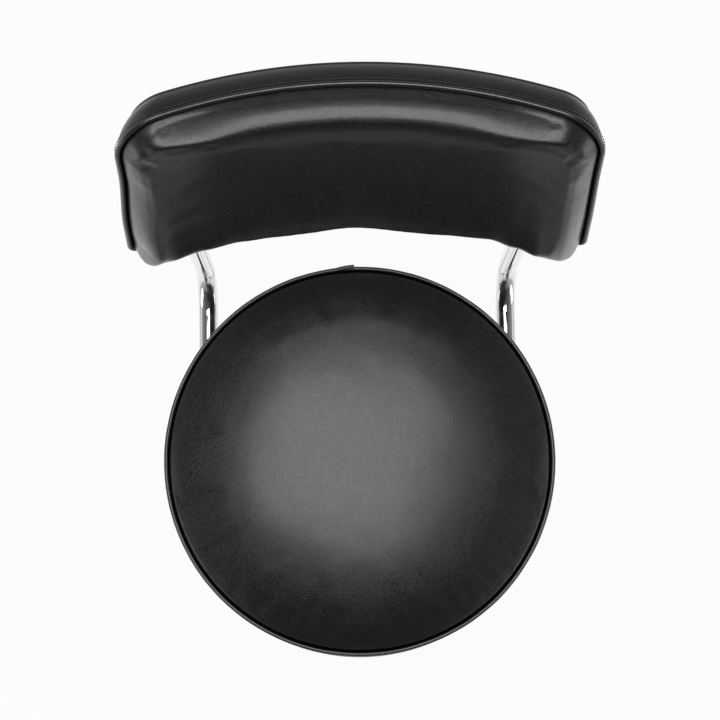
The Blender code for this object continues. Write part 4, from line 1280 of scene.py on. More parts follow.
@dataclass(frozen=True)
class BallSwivel:
    """Two pressed plates that turn on ten balls between two races, held by a hollow rivet."""

    lower_side: float = 0.14991
    upper_side: float = 0.178
    thickness: float = 0.0025
    corner: float = 0.014
    corner_start: float = 1.35
    ease: float = 0.0004
    screw_reach: float = 0.107
    screw_stagger: float = 0.7
    ball: float = 0.004
    balls: int = 10
    race: float = 0.052
    race_half: float = 0.0085
    race_floor: float = 0.0022
    land_drop: float = 0.0016
    rivet: float = 0.008
    rivet_bore: float = 0.0055
    rivet_flange: float = 0.0125
    rivet_flange_thickness: float = 0.0015
    rivet_ease: float = 0.0007
    race_ease: float = 0.0012
    pivot_gap: float = 0.0004

    def plate(self, side: float, bottom: float, bore: float, turn: float) -> Mesh:
        """Make a square plate with rounded corners, eased edges and a round bore.

        Args:
            side: Length of a side.
            bottom: Height of its underside.
            bore: Radius of its bore.
            turn: How far it is turned about the axis, in degrees.

        Returns:
            The plate.
        """
        half, ease = side / 2.0, self.ease
        square = [(half, half), (-half, half), (-half, -half), (half, -half)]
        outline = eased(square, self.corner * self.corner_start, 12)
        spaced: list[Vector] = []
        for index, point in enumerate(outline):
            start, stop = Vector(point), Vector(outline[(index + 1) % len(outline)])
            pieces = 8 if (stop - start).length > side / 3.0 else 1
            spaced += [start.lerp(stop, step / pieces) for step in range(pieces)]
        swing = Matrix.Rotation(math.radians(turn), 2)
        spaced = [swing @ point for point in spaced]
        low, high = bottom, bottom + self.thickness
        section = [(ease, low), (0.0, low + ease), (0.0, high - ease), (ease, high)]
        rows = [
            [(point - point.normalized() * inset).to_3d() + raised(height) for point in spaced]
            for inset, height in section
        ]
        rows += [
            [(point.normalized() * (bore + inset)).to_3d() + raised(height) for point in spaced]
            for inset, height in reversed(section)
        ]
        return lofted(rows, loop=True, crease=50.0)

    def race_ring(self, direction: float) -> Mesh:
        """Make one race, grooved for the balls.

        Args:
            direction: 1 for the lower race, -1 for the upper.

        Returns:
            The race.
        """
        groove = self.ball + LEVELS.gap
        back = self.race_floor + groove
        half_arc = math.acos(self.land_drop / groove)
        inner, outer = self.race - self.race_half, self.race + self.race_half
        foot = [(outer, -self.land_drop), (outer, -back), (inner, -back), (inner, -self.land_drop)]
        shape = []
        for step in range(13):
            turn = half_arc * (step / 6.0 - 1.0)
            shape.append((self.race + groove * math.sin(turn), -groove * math.cos(turn)))
        shape += eased(foot, self.race_ease, 4, closed=False)
        return turned(
            [(radius, LEVELS.balls + direction * height) for radius, height in shape], 128, loop=True
        )

    def rivet_tube(self) -> Mesh:
        """Make the hollow rivet with its two rolled flanges.

        Returns:
            The rivet.
        """
        top = LEVELS.upper_plate + self.thickness + LEVELS.gap
        low = LEVELS.lower_plate - LEVELS.gap
        thick = self.rivet_flange_thickness
        profile = [
            (self.rivet_bore, top + thick),
            (self.rivet_flange, top + thick),
            (self.rivet_flange, top),
            (self.rivet, top),
            (self.rivet, low),
            (self.rivet_flange, low),
            (self.rivet_flange, low - thick),
            (self.rivet_bore, low - thick),
        ]
        return turned(eased(profile, self.rivet_ease, 5), 48, loop=True)

    def build(self, kit: Kit) -> None:
        """Build and dress every piece of the swivel.

        Args:
            kit: The finishes, the patterns and the fasteners.
        """
        finishes, circle, zinc, gap = kit.finishes, kit.circle, kit.finishes.zinc, LEVELS.gap
        low, high = LEVELS.lower_plate, LEVELS.upper_plate
        for name, node, side, bottom, bore, turn, body in (
            (
                "swivel_plate_below", "lower_swivel_plate",
                self.lower_side, low, gap, 45.0, Body.BASE,
            ),
            (
                "swivel_plate_above", "upper_swivel_plate",
                self.upper_side, high, self.pivot_gap, 0.0, Body.SEAT,
            ),
        ):
            show(name, self.plate(side, bottom, self.rivet + bore, turn), zinc, body, [node])
        show("race_below", self.race_ring(1.0), zinc, Body.BASE, ["lower_race"])
        show("race_above", self.race_ring(-1.0), zinc, Body.SEAT, ["upper_race"])
        show("hollow_rivet", self.rivet_tube(), zinc, Body.BASE, ["swivel_rivet"])
        poles = [(self.ball * math.sin(turn), -self.ball * math.cos(turn)) for turn in turns(28)[1:14]]
        ball = turned([(0.0, -self.ball), *poles, (0.0, self.ball)], 28)
        name = "swivel_balls"
        balls = circle.make(ball, finishes.bearing, self.balls, self.race, LEVELS.balls)
        nodes = numbered("bearing_ball_", self.balls)
        show(name, finished(balls), finishes.bearing, Body.CAGE, nodes)
        name, head, first = "plate_pan_screws", high - gap, math.radians(45.0)
        screws = circle.make(
            kit.stock.pan_screw(), zinc, 4, self.screw_reach, head, first, self.screw_stagger
        )
        nodes = numbered("swivel_plate_screw_", 4)
        show(name, finished(screws, 45.0), zinc, Body.SEAT, nodes)


@dataclass(frozen=True)
class PadBlower:
    """Blows a copy of a pad up as cloth, and lays its swelling on the pad's own finer mesh."""

    voxel: float = 0.005
    pressure: float = 4.0
    frames: int = 20
    quality: int = 6
    sewn_below: float = 0.05
    neighbours: int = 6
    cap: float = 0.004

    def blow(self, mesh: Mesh, freedom: Callable[[Vector], float]) -> None:
        """Swell a pad's mesh in place.

        Args:
            mesh: The pad's mesh.
            freedom: Gives how freely the pad moves at a place, from 0, sewn down, to 1.
        """
        rough = held("pad_voxels", mesh.copy())
        remesh = rough.modifiers.new("voxels", "REMESH")
        remesh.mode = "VOXEL"
        remesh.voxel_size = self.voxel
        rest = evaluated(rough)
        pad = held("pad_cloth", rest)
        sewn = pad.vertex_groups.new(name="sewn")
        for vertex in rest.vertices:
            sewn.add([vertex.index], 1.0 if freedom(vertex.co) < self.sewn_below else 0.0, "REPLACE")
        cloth = pad.modifiers.new("cloth", "CLOTH")
        settings = cloth.settings
        settings.quality = self.quality
        settings.vertex_group_mass = sewn.name
        settings.use_pressure = True
        settings.uniform_pressure_force = self.pressure
        settings.effector_weights.gravity = 0.0
        for step in range(1, self.frames + 1):
            bpy.context.scene.frame_set(step)
        graph = bpy.context.evaluated_depsgraph_get()
        blown = bpy.data.meshes.new_from_object(pad.evaluated_get(graph), depsgraph=graph)
        moves = [after.co - before.co for before, after in zip(rest.vertices, blown.vertices)]
        tree = KDTree(len(moves))
        for vertex in rest.vertices:
            tree.insert(vertex.co, vertex.index)
        tree.balance()
        total = 0.0
        for vertex in mesh.vertices:
            free = freedom(vertex.co)
            if free <= 0.0:
                continue
            near = tree.find_n(vertex.co, self.neighbours)
            weights = [1.0 / (distance + self.voxel / 4.0) ** 2 for _, _, distance in near]
            move = sum(
                (moves[index] * weight for (_, index, _), weight in zip(near, weights)), Vector()
            ) / sum(weights)
            if move.length > self.cap:
                move *= self.cap / move.length
            vertex.co += move * free
            total += move.length * free
        bpy.data.objects.remove(pad, do_unlink=True)
        bpy.context.scene.frame_set(1)
        LOG.info("pad swollen by %.1f mm on average", 1000.0 * total / len(mesh.vertices))


@dataclass(frozen=True)
class RoundSeat:
    """The round seat: board, crowned cushion, drawn-in side band and corded edge."""

    radius: float = 0.184
    welt: float = 0.0020
    skin: float = 0.0012
    crown: float = 0.029
    reach_power: float = 2.3
    edge_power: float = 0.62
    gather: float = 0.00018
    gather_reach: float = 0.012
    gather_waves: Span = (116.0, 71.0)
    sag: tuple[Wave, Wave] = ((0.0005, 0.085, 3.1), (0.00012, 0.019, 6.3))
    sag_reach: float = 0.03
    board_radius: float = 0.1745
    band_bulge: float = 0.0012
    band_steps: int = 24
    band_waves: tuple[Wave, Wave] = ((0.0007, 0.055, 5.0), (0.0003, 0.022, 9.0))
    turn_under: float = 0.0045
    knee_rise: float = 0.003
    hem_width: float = 0.026
    joint: Span = (0.0009, 0.0013)
    joint_side: Triple = (0.0005, 0.004, 0.003)
    pleat: float = 0.0011
    pleat_waves: float = 31.0
    pleat_drift: Wave = (1.8, 0.03, 2.0)
    trim: Wave = (0.0016, 0.012, 7.0)
    crease: float = 0.0014
    crease_drop: float = 0.0034
    crease_roll: Span = (0.0016, 0.0003)
    core_inset: float = 0.004
    core_top: float = 0.012
    layers: int = 52
    front_draw: float = 0.0010
    front_swell: float = 0.0022
    lap_start: float = math.radians(90.9)
    lap_end: float = math.radians(96.4)
    lap_lift: float = 0.0021
    lap_size: float = 1.04
    cord_wave: Wave = (0.035, 0.010, 4.0)
    cord_drift: Wave = (0.0002, 0.028, 8.0)
    tube_place: float = 0.147
    tube_rear: float = -0.075
    tube_room: Span = (0.013, 0.012)
    edge_stitch: Triple = (0.0021, 0.0008, 0.0008)
    edge_pitch: float = 0.0028
    seam_stitch: Triple = (0.0029, 0.0008, 0.0007)
    seam_pitch: float = 0.0038
    seam_half: float = 0.0042
    staples: int = 72
    staple_inset: float = 0.014
    staple_stagger: float = 0.16
    swelling: float = 0.0020
    free_height: float = 0.004
    cord_sides: int = 20
    stitch_stand: Span = (0.0001, 0.0006)
    staple_sink: float = 0.0004
    steps: int = 288

    @property
    def welt_ring(self) -> float:
        """Radius of the cord's centre line."""
        return self.radius - self.welt

    @staticmethod
    def forward(turn: float) -> float:
        """Return 1 at the middle of the seat's front edge, falling to 0 at its sides."""
        return max(0.0, -math.sin(turn)) ** 4

    def dome(self, share: float) -> float:
        """Return how high the cushion stands over the seam at a share of its radius."""
        return self.crown * (1.0 - min(share, 1.0) ** self.reach_power) ** self.edge_power

    def cushion(self) -> Mesh:
        """Make the crowned cushion: panel, foam sides inside the band, and flat underside.

        Returns:
            The cushion.
        """
        edge = self.welt_ring - self.welt - self.crease
        low = LEVELS.board_top + LEVELS.gap
        inner, inset = self.board_radius - self.core_inset, self.core_inset
        rows = [self.circle(inner, height) for height in (low, low + inset, LEVELS.seam - self.core_top)]
        for drop, inset in zip((self.crease_drop, self.crease_drop * 0.5), self.crease_roll):
            row = self.circle(edge - inset, LEVELS.seam - drop)
            for turn, point in zip(turns(self.steps), row):
                point.xy *= 1.0 - self.front_draw * self.forward(turn) / edge
            rows.append(row)
        first, second = self.gather_waves
        for step in range(self.layers):
            share = math.cos(math.pi / 2.0 * step / self.layers)
            fade = max(0.0, (1.0 - share) * edge / self.gather_reach)
            gather = self.gather * math.exp(-fade) * min(1.0, fade * 3.0)
            soft = min(1.0, (1.0 - share) * edge / self.sag_reach)
            row = []
            for turn in turns(self.steps):
                place = spoke(turn, (edge - self.front_draw * self.forward(turn)) * share)
                height = self.dome(share) + gather * (
                    math.sin(turn * first) + 0.7 * math.sin(turn * second + 1.3)
                )
                height += soft * waved(place, self.sag)
                row.append(place + raised(LEVELS.seam + height))
            rows.append(row)
        top = raised(LEVELS.seam + self.crown + waved(Vector(), self.sag[:1]))
        return lofted(rows, start=raised(low), end=top)

    def swells(self, place: Vector) -> float:
        """Return how freely the cushion swells at a place: not at all at its seam and underside."""
        return clamped((place.z - LEVELS.seam) / self.free_height)

    def circle(self, radius: float, height: float) -> Row:
        """Return a level circle of points."""
        return [spoke(turn, radius, height) for turn in turns(self.steps)]

    def band_path(self) -> Profile:
        """Draw the outer side of the side band, from the cord down and in under the board.

        Returns:
            Its points as radius and height.
        """
        top_radius, top = self.welt_ring - LEVELS.gap, LEVELS.seam - self.welt - LEVELS.gap
        side, foot = self.board_radius + self.skin + LEVELS.gap, LEVELS.hem
        path: Profile = []
        knee = LEVELS.board + self.knee_rise
        for step in range(self.band_steps + 1):
            share = step / self.band_steps
            drawn = top_radius + (side - top_radius) * share**2
            swell = self.band_bulge * math.sin(math.pi * share)
            path.append((drawn + swell, top + (knee - top) * share))
        for step in range(1, 7):
            turn = math.pi / 2.0 * step / 6
            path.append(
                (side - self.turn_under * (1.0 - math.cos(turn)), knee - (knee - foot) * math.sin(turn))
            )
        inner = self.board_radius - self.hem_width
        start = path[-1][0]
        return path + [(start + (inner - start) * step / 8, foot) for step in range(1, 9)]

    def swell(self, share: float, turn: float) -> float:
        """Return how far the band stands out at the front, at a share of its height from the cord."""
        rolled = min(1.0, 0.35 + share * 8.0)
        return self.front_swell * self.forward(turn) * max(0.0, 1.0 - share) ** 1.5 * rolled

    def near_tube(self, place: Vector) -> float:
        """Tell how near a place under the seat is to a back tube.

        Args:
            place: The place.

        Returns:
            0 where a tube passes under the hem, and 1 well clear of it.
        """
        if place.y < self.tube_rear:
            return 1.0
        room, fade = self.tube_room
        return clamped((abs(abs(place.x) - self.tube_place) - room) / fade)

    def band(self) -> Mesh:
        """Make the side band: one skin, joined at the rear, pleated where it turns under.

        Returns:
            The band.
        """
        path = self.band_path()
        outer: list[Row] = []
        inner: list[Row] = []
        last, under_from = len(path) - 1, self.band_steps + 4
        for index, (radius, height) in enumerate(path):
            before, after = path[max(index - 1, 0)], path[min(index + 1, last)]
            run = Vector((after[0] - before[0], after[1] - before[1])).normalized()
            share = index / self.band_steps
            soft = math.sin(math.pi * min(share, 1.0))
            under = max(0.0, (index - under_from) / (last - under_from))
            thick = self.skin * (1.0 if under < 1.0 else 0.9)
            row, back = [], []
            for turn in turns(self.steps):
                outward = spoke(turn)
                place = outward * (radius + self.swell(share, turn)) + raised(height)
                uneven = soft * waved(place, self.band_waves)
                if share < 1.2:
                    away = abs(turn - math.pi / 2.0) * radius
                    depth, width = self.joint
                    uneven -= depth * math.exp(-((away / width) ** 2))
                    depth, middle, width = self.joint_side
                    uneven += depth * math.exp(-(((away - middle) / width) ** 2))
                clear = under * self.near_tube(place)
                ripple = abs(math.sin(turn * self.pleat_waves + waved(place, [self.pleat_drift]))) ** 3
                trim = clear * waved(outward * self.radius, [self.trim])
                row.append(place + outward * (uneven + trim) - raised(self.pleat * clear * ripple))
                inward = outward * run.y - raised(run.x)
                back.append(place + outward * trim + inward * thick)
            outer.append(row)
            inner.append(back)
        return lofted(outer + inner[::-1], loop=True, crease=60.0)

    def cord(self) -> Mesh:
        """Make the cord round the edge, with the lapped end of its covering at the rear.

        Returns:
            The cord.
        """
        around = turns(self.steps * 3)
        loop = lofted([self.cord_section(turn, 1.0, 0.0) for turn in around], loop=True, crease=70.0)
        rows = []
        span = self.lap_end - self.lap_start
        tip = ((0.0, 0.70), (0.006, 0.93), (0.03, self.lap_size))
        for share, size in (*tip, *((step / 20, self.lap_size) for step in range(1, 21))):
            sink = 1.0 - share**1.6
            rows.append(self.cord_section(self.lap_start + span * share, size, sink * self.lap_lift))
        tips = [sum(row, Vector()) / len(row) for row in (rows[0], rows[-1])]
        return joined([loop, lofted(rows, start=tips[0], end=tips[1], crease=50.0)])

    def cord_section(self, turn: float, size: float, lift: float) -> Row:
        """Make one round section of the cord.

        Args:
            turn: Its angle round the seat.
            size: Its size against the cord's.
            lift: How far it is lifted outwards and a little upwards.

        Returns:
            Its points.
        """
        outward = spoke(turn)
        spot = outward * self.welt_ring
        radius = self.welt * size * (1.0 + waved(spot, [self.cord_wave]))
        away = waved(spot, [self.cord_drift]) - self.front_draw * self.forward(turn) + 0.8 * lift
        centre = spot + outward * away + raised(LEVELS.seam + 0.5 * lift)
        return hoop(centre, outward, raised(1.0), radius, self.cord_sides)

    def edge_stitches(self) -> Seam:
        """Find the path of the stitches round the band, just under the cord.

        Returns:
            The path.
        """
        index = 1
        radius, height = self.band_path()[index]
        path = []
        for turn in turns(self.steps):
            outward = spoke(turn)
            reach = radius + self.swell(index / self.band_steps, turn) + self.stitch_stand[0]
            path.append((outward * reach + raised(height), (outward + raised(0.4)).normalized()))
        return path

    def seam_stitches(self) -> list[Seam]:
        """Find the two stitch rows beside the band's rear joint.

        Returns:
            Their paths.
        """
        paths = []
        for side in (-1.0, 1.0):
            path = []
            for radius, height in self.band_path()[1 : self.band_steps]:
                outward = spoke(math.pi / 2.0 + side * self.seam_half / radius)
                path.append((outward * (radius + self.stitch_stand[1]) + raised(height), outward))
            paths.append(path)
        return paths

    def build(self, kit: Kit) -> None:
        """Build and dress every piece of the seat.

        Args:
            kit: The finishes, the patterns and the fasteners.
        """
        finishes, row = kit.finishes, kit.row
        vinyl, thread = finishes.vinyl, finishes.thread
        cushion = self.cushion()
        PadBlower(cap=self.swelling).blow(cushion, self.swells)
        nodes = ["seat_top_panel", "seat_foam"]
        pad = show("seat_cushion", cushion, vinyl, Body.SEAT, nodes)
        name = "seat_side_cover"
        band = show(name, self.band(), vinyl, Body.SEAT, ["seat_side_band"])
        name = "seat_edge_cord"
        show(name, self.cord(), finishes.piping, Body.SEAT, ["seat_piping"])
        name = "seat_seam_stitches"
        mesh = row.make(self.seam_stitches(), thread, self.seam_pitch, self.seam_stitch)
        show(name, mesh, thread, Body.SEAT)
        name = "seat_edge_stitches"
        mesh = row.make([self.edge_stitches()], thread, self.edge_pitch, self.edge_stitch, closed=True)
        show(name, mesh, thread, Body.SEAT)
        name = "hem_staples"
        reach, height = self.board_radius - self.staple_inset, LEVELS.hem - self.staple_sink
        wire, staple = finishes.staple, kit.stock.staple()
        mesh = kit.circle.make(staple, wire, self.staples, reach, height, stagger=self.staple_stagger)
        self.clear_of_tubes(mesh)
        show(name, mesh, wire, Body.SEAT)

    def clear_of_tubes(self, mesh: Mesh) -> None:
        """Take out the staples that a back tube or its bolt would cover.

        Args:
            mesh: The mesh of the staples, changed in place.
        """
        bm = bmesh.new()
        bm.from_mesh(mesh)
        doomed = [vert for vert in bm.verts if self.near_tube(vert.co) < 0.9]
        linked: set[bmesh.types.BMVert] = set(doomed)
        while doomed:
            vert = doomed.pop()
            for edge in vert.link_edges:
                other = edge.other_vert(vert)
                if other not in linked:
                    linked.add(other)
                    doomed.append(other)
        bmesh.ops.delete(bm, geom=list(linked), context="VERTS")
        bm.to_mesh(mesh)
        bm.free()


@dataclass(frozen=True)
class BackForm:
    """The upright arc that the backrest is bent round, its lean and its outline."""

    arc: float = 0.464
    lean: float = math.radians(17.5)
    setback: float = 0.2545
    rise: float = 0.1975
    width: float = 0.413
    height: float = 0.198
    top_corner: float = 0.040
    bottom_corner: float = 0.011
    least_corner: float = 0.002
    reaches: Span = (-0.0012, 0.0008)
    foot_flare: Span = (0.0048, 0.0014)
    flare_span: Span = (-0.055, 0.035)
    foot_drop: float = 0.0016
    left_round: float = 0.35
    corner_steps: tuple[int, int] = (20, 10)
    runs: tuple[int, int, int, int] = (72, 26, 84, 26)

    @property
    def lean_up(self) -> Vector:
        """Direction up the leaning backrest."""
        return Vector((0.0, math.sin(self.lean), math.cos(self.lean)))

    @property
    def lean_front(self) -> Vector:
        """Direction out of the middle of its front."""
        return Vector((0.0, -math.cos(self.lean), math.sin(self.lean)))

    @property
    def centre(self) -> Vector:
        """Centre of the arc."""
        return Vector((0.0, self.setback, LEVELS.seam + self.rise)) + self.arc * self.lean_front

    def axes(self, across: float) -> tuple[Vector, Vector, Vector, Vector]:
        """Find a place on the arc and its directions.

        Args:
            across: Distance along the arc from its middle.

        Returns:
            The place, and the directions along, up and rearward.
        """
        angle = across / self.arc
        rearward = Vector((math.sin(angle), 0.0, 0.0)) - math.cos(angle) * self.lean_front
        along = Vector((math.cos(angle), 0.0, 0.0)) + math.sin(angle) * self.lean_front
        return self.centre + self.arc * rearward, along, self.lean_up, rearward

    def place(self, across: float, up: float, back: float) -> Vector:
        """Return a point of the backrest from its flat coordinates."""
        spot, _, lean_up, rearward = self.axes(across)
        return spot + up * lean_up + back * rearward

    def reach(self, across: float, up: float) -> float:
        """Return how much further than its width the pad reaches on one side at a height."""
        side = 0 if across < 0.0 else 1
        return self.reaches[side] + self.foot_flare[side] * (1.0 - stepped(up, *self.flare_span))

    def outline(self, inset: float, pinch: float = 0.0, corner: float | None = None) -> Seam:
        """Draw the rounded outline of the panel, anticlockwise from the right.

        Args:
            inset: How far it stands in from the seam all round.
            pinch: How much further it stands in at its two ends.
            corner: Radius of its upper corners, where it isn't the seam's less the inset.

        Returns:
            Flat points with their outward normals.
        """
        half_width = self.width / 2.0 - inset - pinch
        half_height = self.height / 2.0 - inset
        top = max(self.top_corner - inset, self.least_corner) if corner is None else corner
        bottom = max(self.bottom_corner - inset, self.least_corner)
        points: Seam = []
        left = top + self.left_round * pinch
        fine, coarse = self.corner_steps
        corners = (
            (1.0, 1.0, top, 0.0, fine),
            (-1.0, 1.0, left, 0.5, fine),
            (-1.0, -1.0, bottom, 1.0, coarse),
            (1.0, -1.0, bottom, 1.5, coarse),
        )
        for index, (side, level, radius, quarter, steps) in enumerate(corners):
            centre = Vector((side * (half_width - radius), level * (half_height - radius)))
            for step in range(steps + 1):
                normal = spoke(math.pi * (quarter + 0.5 * step / steps)).xy
                points.append((centre + radius * normal, normal))
            side, level, radius = corners[(index + 1) % 4][:3]
            normal = spoke(math.pi * (quarter + 0.5)).xy
            begin = points[-1][0]
            end = Vector((side * (half_width - radius), level * (half_height - radius))) + radius * normal
            run = self.runs[index]
            points += [(begin.lerp(end, step / run), normal) for step in range(1, run)]
        for point, _ in points:
            point.x *= 1.0 + self.reach(point.x, point.y) / half_width
            point.y -= self.foot_drop * max(0.0, -point.y / half_height) ** 1.5
        return points

    def loop(self, inset: float, pinch: float, corner: float, back: float, share: float = 1.0) -> Row:
        """Lay the outline as a loop of bent and leaned points.

        Args:
            inset: How far it stands in from the seam all round.
            pinch: How much further it stands in at its two ends.
            corner: Radius of its upper corners.
            back: How far behind the arc it lies.
            share: Share of the way from the panel's centre to the outline.

        Returns:
            Its points.
        """
        outline = self.outline(inset, pinch, corner)
        return [self.place(share * point.x, share * point.y, back) for point, _ in outline]


@dataclass(frozen=True)
class BentBack:
    """The backrest: a corded box cushion bent round an arc, with a flat outer panel."""

    form: BackForm = field(default_factory=BackForm)
    skin: float = 0.0012
    welt: float = 0.0020
    box_depth: float = 0.023
    box_rear: float = 0.0272
    box_roll: float = 0.0026
    taper: float = 0.0085
    end_pinch: float = 0.012
    panel_edge: float = 0.0125
    hem: float = 0.012
    shoulder: float = 0.0272
    top_span: float = 0.021
    bevel_span: float = 0.0092
    bevel_bend: float = 0.355
    bevel_sharp: float = 16.0
    bevel_across: Span = (0.08, 0.165)
    bevel_right: float = 0.75
    bottom_span: Span = (0.0065, 0.040)
    bottom_across: Span = (0.06, 0.20)
    side_span: Span = (0.011, 0.080)
    side_boxy: Span = (0.42, 0.74)
    side_up: Span = (-0.09, 0.05)
    rim_span: Span = (0.003, 0.010)
    rim_across: Span = (0.145, 0.185)
    rim_up: Span = (0.025, 0.065)
    mitre_sharp: Span = (14.0, 9.0)
    crown: float = 0.0062
    crown_span: float = 0.110
    upright_crown: float = 0.0010
    upper_ease: float = 0.0055
    ease_across: Span = (0.12, 0.185)
    ease_up: Span = (0.0, 0.08)
    lower_knots: Profile = (
        (-0.205, 0.0185), (-0.185, 0.0130), (-0.150, 0.0075), (-0.110, 0.0025), (-0.080, 0.0008),
        (-0.050, 0.0004), (-0.005, -0.0025), (0.050, 0.0006), (0.085, 0.0006), (0.125, 0.0020),
        (0.152, 0.0085), (0.176, 0.0150), (0.200, 0.0190),
    )
    lower_up: Span = (-0.08, 0.03)
    soft_rim: float = 0.02
    sag: tuple[Wave, Wave] = ((0.0005, 0.07, 6.0), (0.00018, 0.021, 2.2))
    gather: float = 0.00015
    gather_span: Span = (0.002, 0.010)
    gather_waves: Span = (900.0, 800.0)
    fold: float = 0.00016
    fold_from: Span = (0.120, 0.175)
    fold_to: Span = (0.178, 0.200)
    fold_up: Span = (0.03, 0.065)
    fold_waves: Span = (190.0, 110.0)
    fold_bend: Wave = (4.0, 0.05, 1.4)
    brim: float = 0.0022
    brim_up: float = 0.06
    brim_across: Span = (0.185, 0.03)
    crease: float = 0.0008
    floor: float = 0.0016
    dense: float = 0.38
    dense_steps: int = 34
    inner_steps: int = 16
    rear_corner: float = 0.026
    tuck: Span = (0.1870, 0.0850)
    tuck_right: float = 0.30
    tuck_depth: float = 0.0046
    tuck_size: Span = (0.0024, 0.0058)
    dip_depth: float = 0.0008
    dip_place: Span = (0.006, -0.004)
    dip_size: Span = (0.008, 0.012)
    cord_radius: float = 0.0023
    cord_wave: Wave = (0.03, 0.012, 2.0)
    outer_thickness: float = 0.004
    outer_crown: float = 0.0009
    outer_edge: Profile = ((0.0012, 0.0), (0.0, 0.3), (0.0, 0.62), (0.0006, 0.86), (0.0018, 1.0))
    tube_radius: float = 0.0095
    tube_place: float = 0.1535
    tube_back: float = 0.0118
    mouth_room: float = 0.0004
    mouth_rise: float = 0.004
    mouth_half: float = 0.020
    stitch: Triple = (0.0022, 0.0011, 0.0012)
    stitch_pitch: float = 0.0036
    stitch_back: float = 0.0026
    swelling: float = 0.0016
    sewn_depth: float = 0.001
    free_depth: float = 0.006

    @property
    def panel_inset(self) -> float:
        """How far the cushion's edge stands in from the cord's centre line."""
        return self.welt + LEVELS.gap

    def fullness(self, flat: Vector, rim: float) -> float:
        """Tell how full the cushion is, creased along the mitres between its sides.

        Args:
            flat: Flat place on the panel.
            rim: Distance in from the panel's rounded edge.

        Returns:
            The fullness, from 0 at the seam to 1.
        """
        half_width = self.form.width / 2.0 - self.panel_inset
        half_height = self.form.height / 2.0 - self.panel_inset
        left, away = flat.x < 0.0, abs(flat.x)
        below_top = half_height - flat.y
        inward = half_width + self.form.reach(flat.x, flat.y) - away
        bevelled = (1.0 if left else self.bevel_right) * stepped(away, *self.bevel_across)
        sloped = max(0.0004, min(1.8, below_top / self.bevel_span))
        bevel = (sloped * (1.0 + self.bevel_bend - self.bevel_bend * sloped)) ** -self.bevel_sharp
        bevel = (bevel + 1.0) ** (-1.0 / self.bevel_sharp)
        low_span = between(*self.bottom_span, stepped(away, *self.bottom_across))
        boxy = between(*self.side_boxy, stepped(flat.y, *self.side_up))
        corner = stepped(away, *self.rim_across) * stepped(flat.y, *self.rim_up)
        near, far = self.side_span
        values = (
            rounded(below_top, self.top_span) * (1.0 - bevelled) + bevel * bevelled,
            rounded(half_height + self.form.foot_drop + flat.y, low_span),
            boxy * rounded(inward, near) + (1.0 - boxy) * rounded(inward, far),
            rounded(rim, self.rim_span[0] + self.rim_span[1] * corner),
        )
        sharp = self.mitre_sharp[0 if left else 1]
        return (sum(value**-sharp for value in values) - len(values) + 1.0) ** (-1.0 / sharp)

    def tucks(self, flat: Vector) -> float:
        """Tell how far the cushion is drawn in at the mitres of its two upper corners.

        Args:
            flat: Flat place on the panel.

        Returns:
            The distance.
        """
        depth = 0.0
        for side, strength in ((-1.0, 1.0), (1.0, self.tuck_right)):
            across, up = side * flat.x - self.tuck[0], flat.y - self.tuck[1]
            depth += strength * self.tuck_depth * mound(across, up, self.tuck_size)
            off, low = self.dip_place
            depth += strength * self.dip_depth * mound(across - off, up - low, self.dip_size)
        return depth

    def rise(self, flat: Vector, rim: float) -> float:
        """Tell how far the cushion stands forward of its seam.

        Args:
            flat: Flat place on the panel.
            rim: Distance in from the panel's rounded edge.

        Returns:
            The distance.
        """
        away = abs(flat.x)
        inward = clamped((self.form.width / 2.0 - self.panel_inset - away) / self.crown_span)
        height = self.shoulder + self.crown * (1.0 - (1.0 - inward) ** 2)
        height += self.upright_crown * (1.0 - (2.0 * flat.y / self.form.height) ** 2)
        height += self.lower_wave(flat.x) * (1.0 - stepped(flat.y, *self.lower_up))
        height -= self.upper_ease * stepped(away, *self.ease_across) * stepped(flat.y, *self.ease_up)
        soft = min(1.0, rim / self.soft_rim)
        uneven = waved(Vector((flat.x, flat.y, 0.0)), self.sag) - self.tucks(flat) - self.folds(flat)
        start, fade = self.gather_span
        gather = self.gather * math.exp(-rim / fade) * min(1.0, rim / start)
        gather *= math.sin(flat.x * self.gather_waves[0]) + math.sin(flat.y * self.gather_waves[1] + 1.0)
        return height * self.fullness(flat, rim) + soft * uneven + gather

    def lower_wave(self, across: float) -> float:
        """Tell how much fuller or flatter the cushion is along its lower edge.

        Args:
            across: Distance along the edge from its middle.

        Returns:
            The difference.
        """
        knots = self.lower_knots
        for (start, low), (end, high) in zip(knots, knots[1:]):
            if across <= end:
                return between(low, high, stepped(across, start, end))
        return knots[-1][1]

    def folds(self, flat: Vector) -> float:
        """Tell the depth of the shallow folds that run in from the two ends.

        Args:
            flat: Flat place on the panel.

        Returns:
            The depth.
        """
        end = stepped(abs(flat.x), *self.fold_from) * (1.0 - stepped(abs(flat.x), *self.fold_to))
        side = -1.0 if flat.x < 0.0 else 1.0
        bend = waved(Vector((flat.x, flat.y, side)), [self.fold_bend])
        wave = math.sin(flat.y * self.fold_waves[0] + side * flat.x * self.fold_waves[1] + bend)
        return self.fold * end * (1.0 - stepped(flat.y, *self.fold_up)) * wave

    def bulge(self, flat: Vector, rim: float) -> float:
        """Tell how far the cushion swells over its upper edge, to stand above the seam.

        Args:
            flat: Flat place on the panel.
            rim: Distance in from the panel's rounded edge.

        Returns:
            The distance.
        """
        upper = clamped(flat.y / self.brim_up)
        inner = clamped((self.brim_across[0] - abs(flat.x)) / self.brim_across[1])
        return self.brim * upper * inner * math.sin(math.pi * min(1.0, rim / self.top_span)) ** 0.8

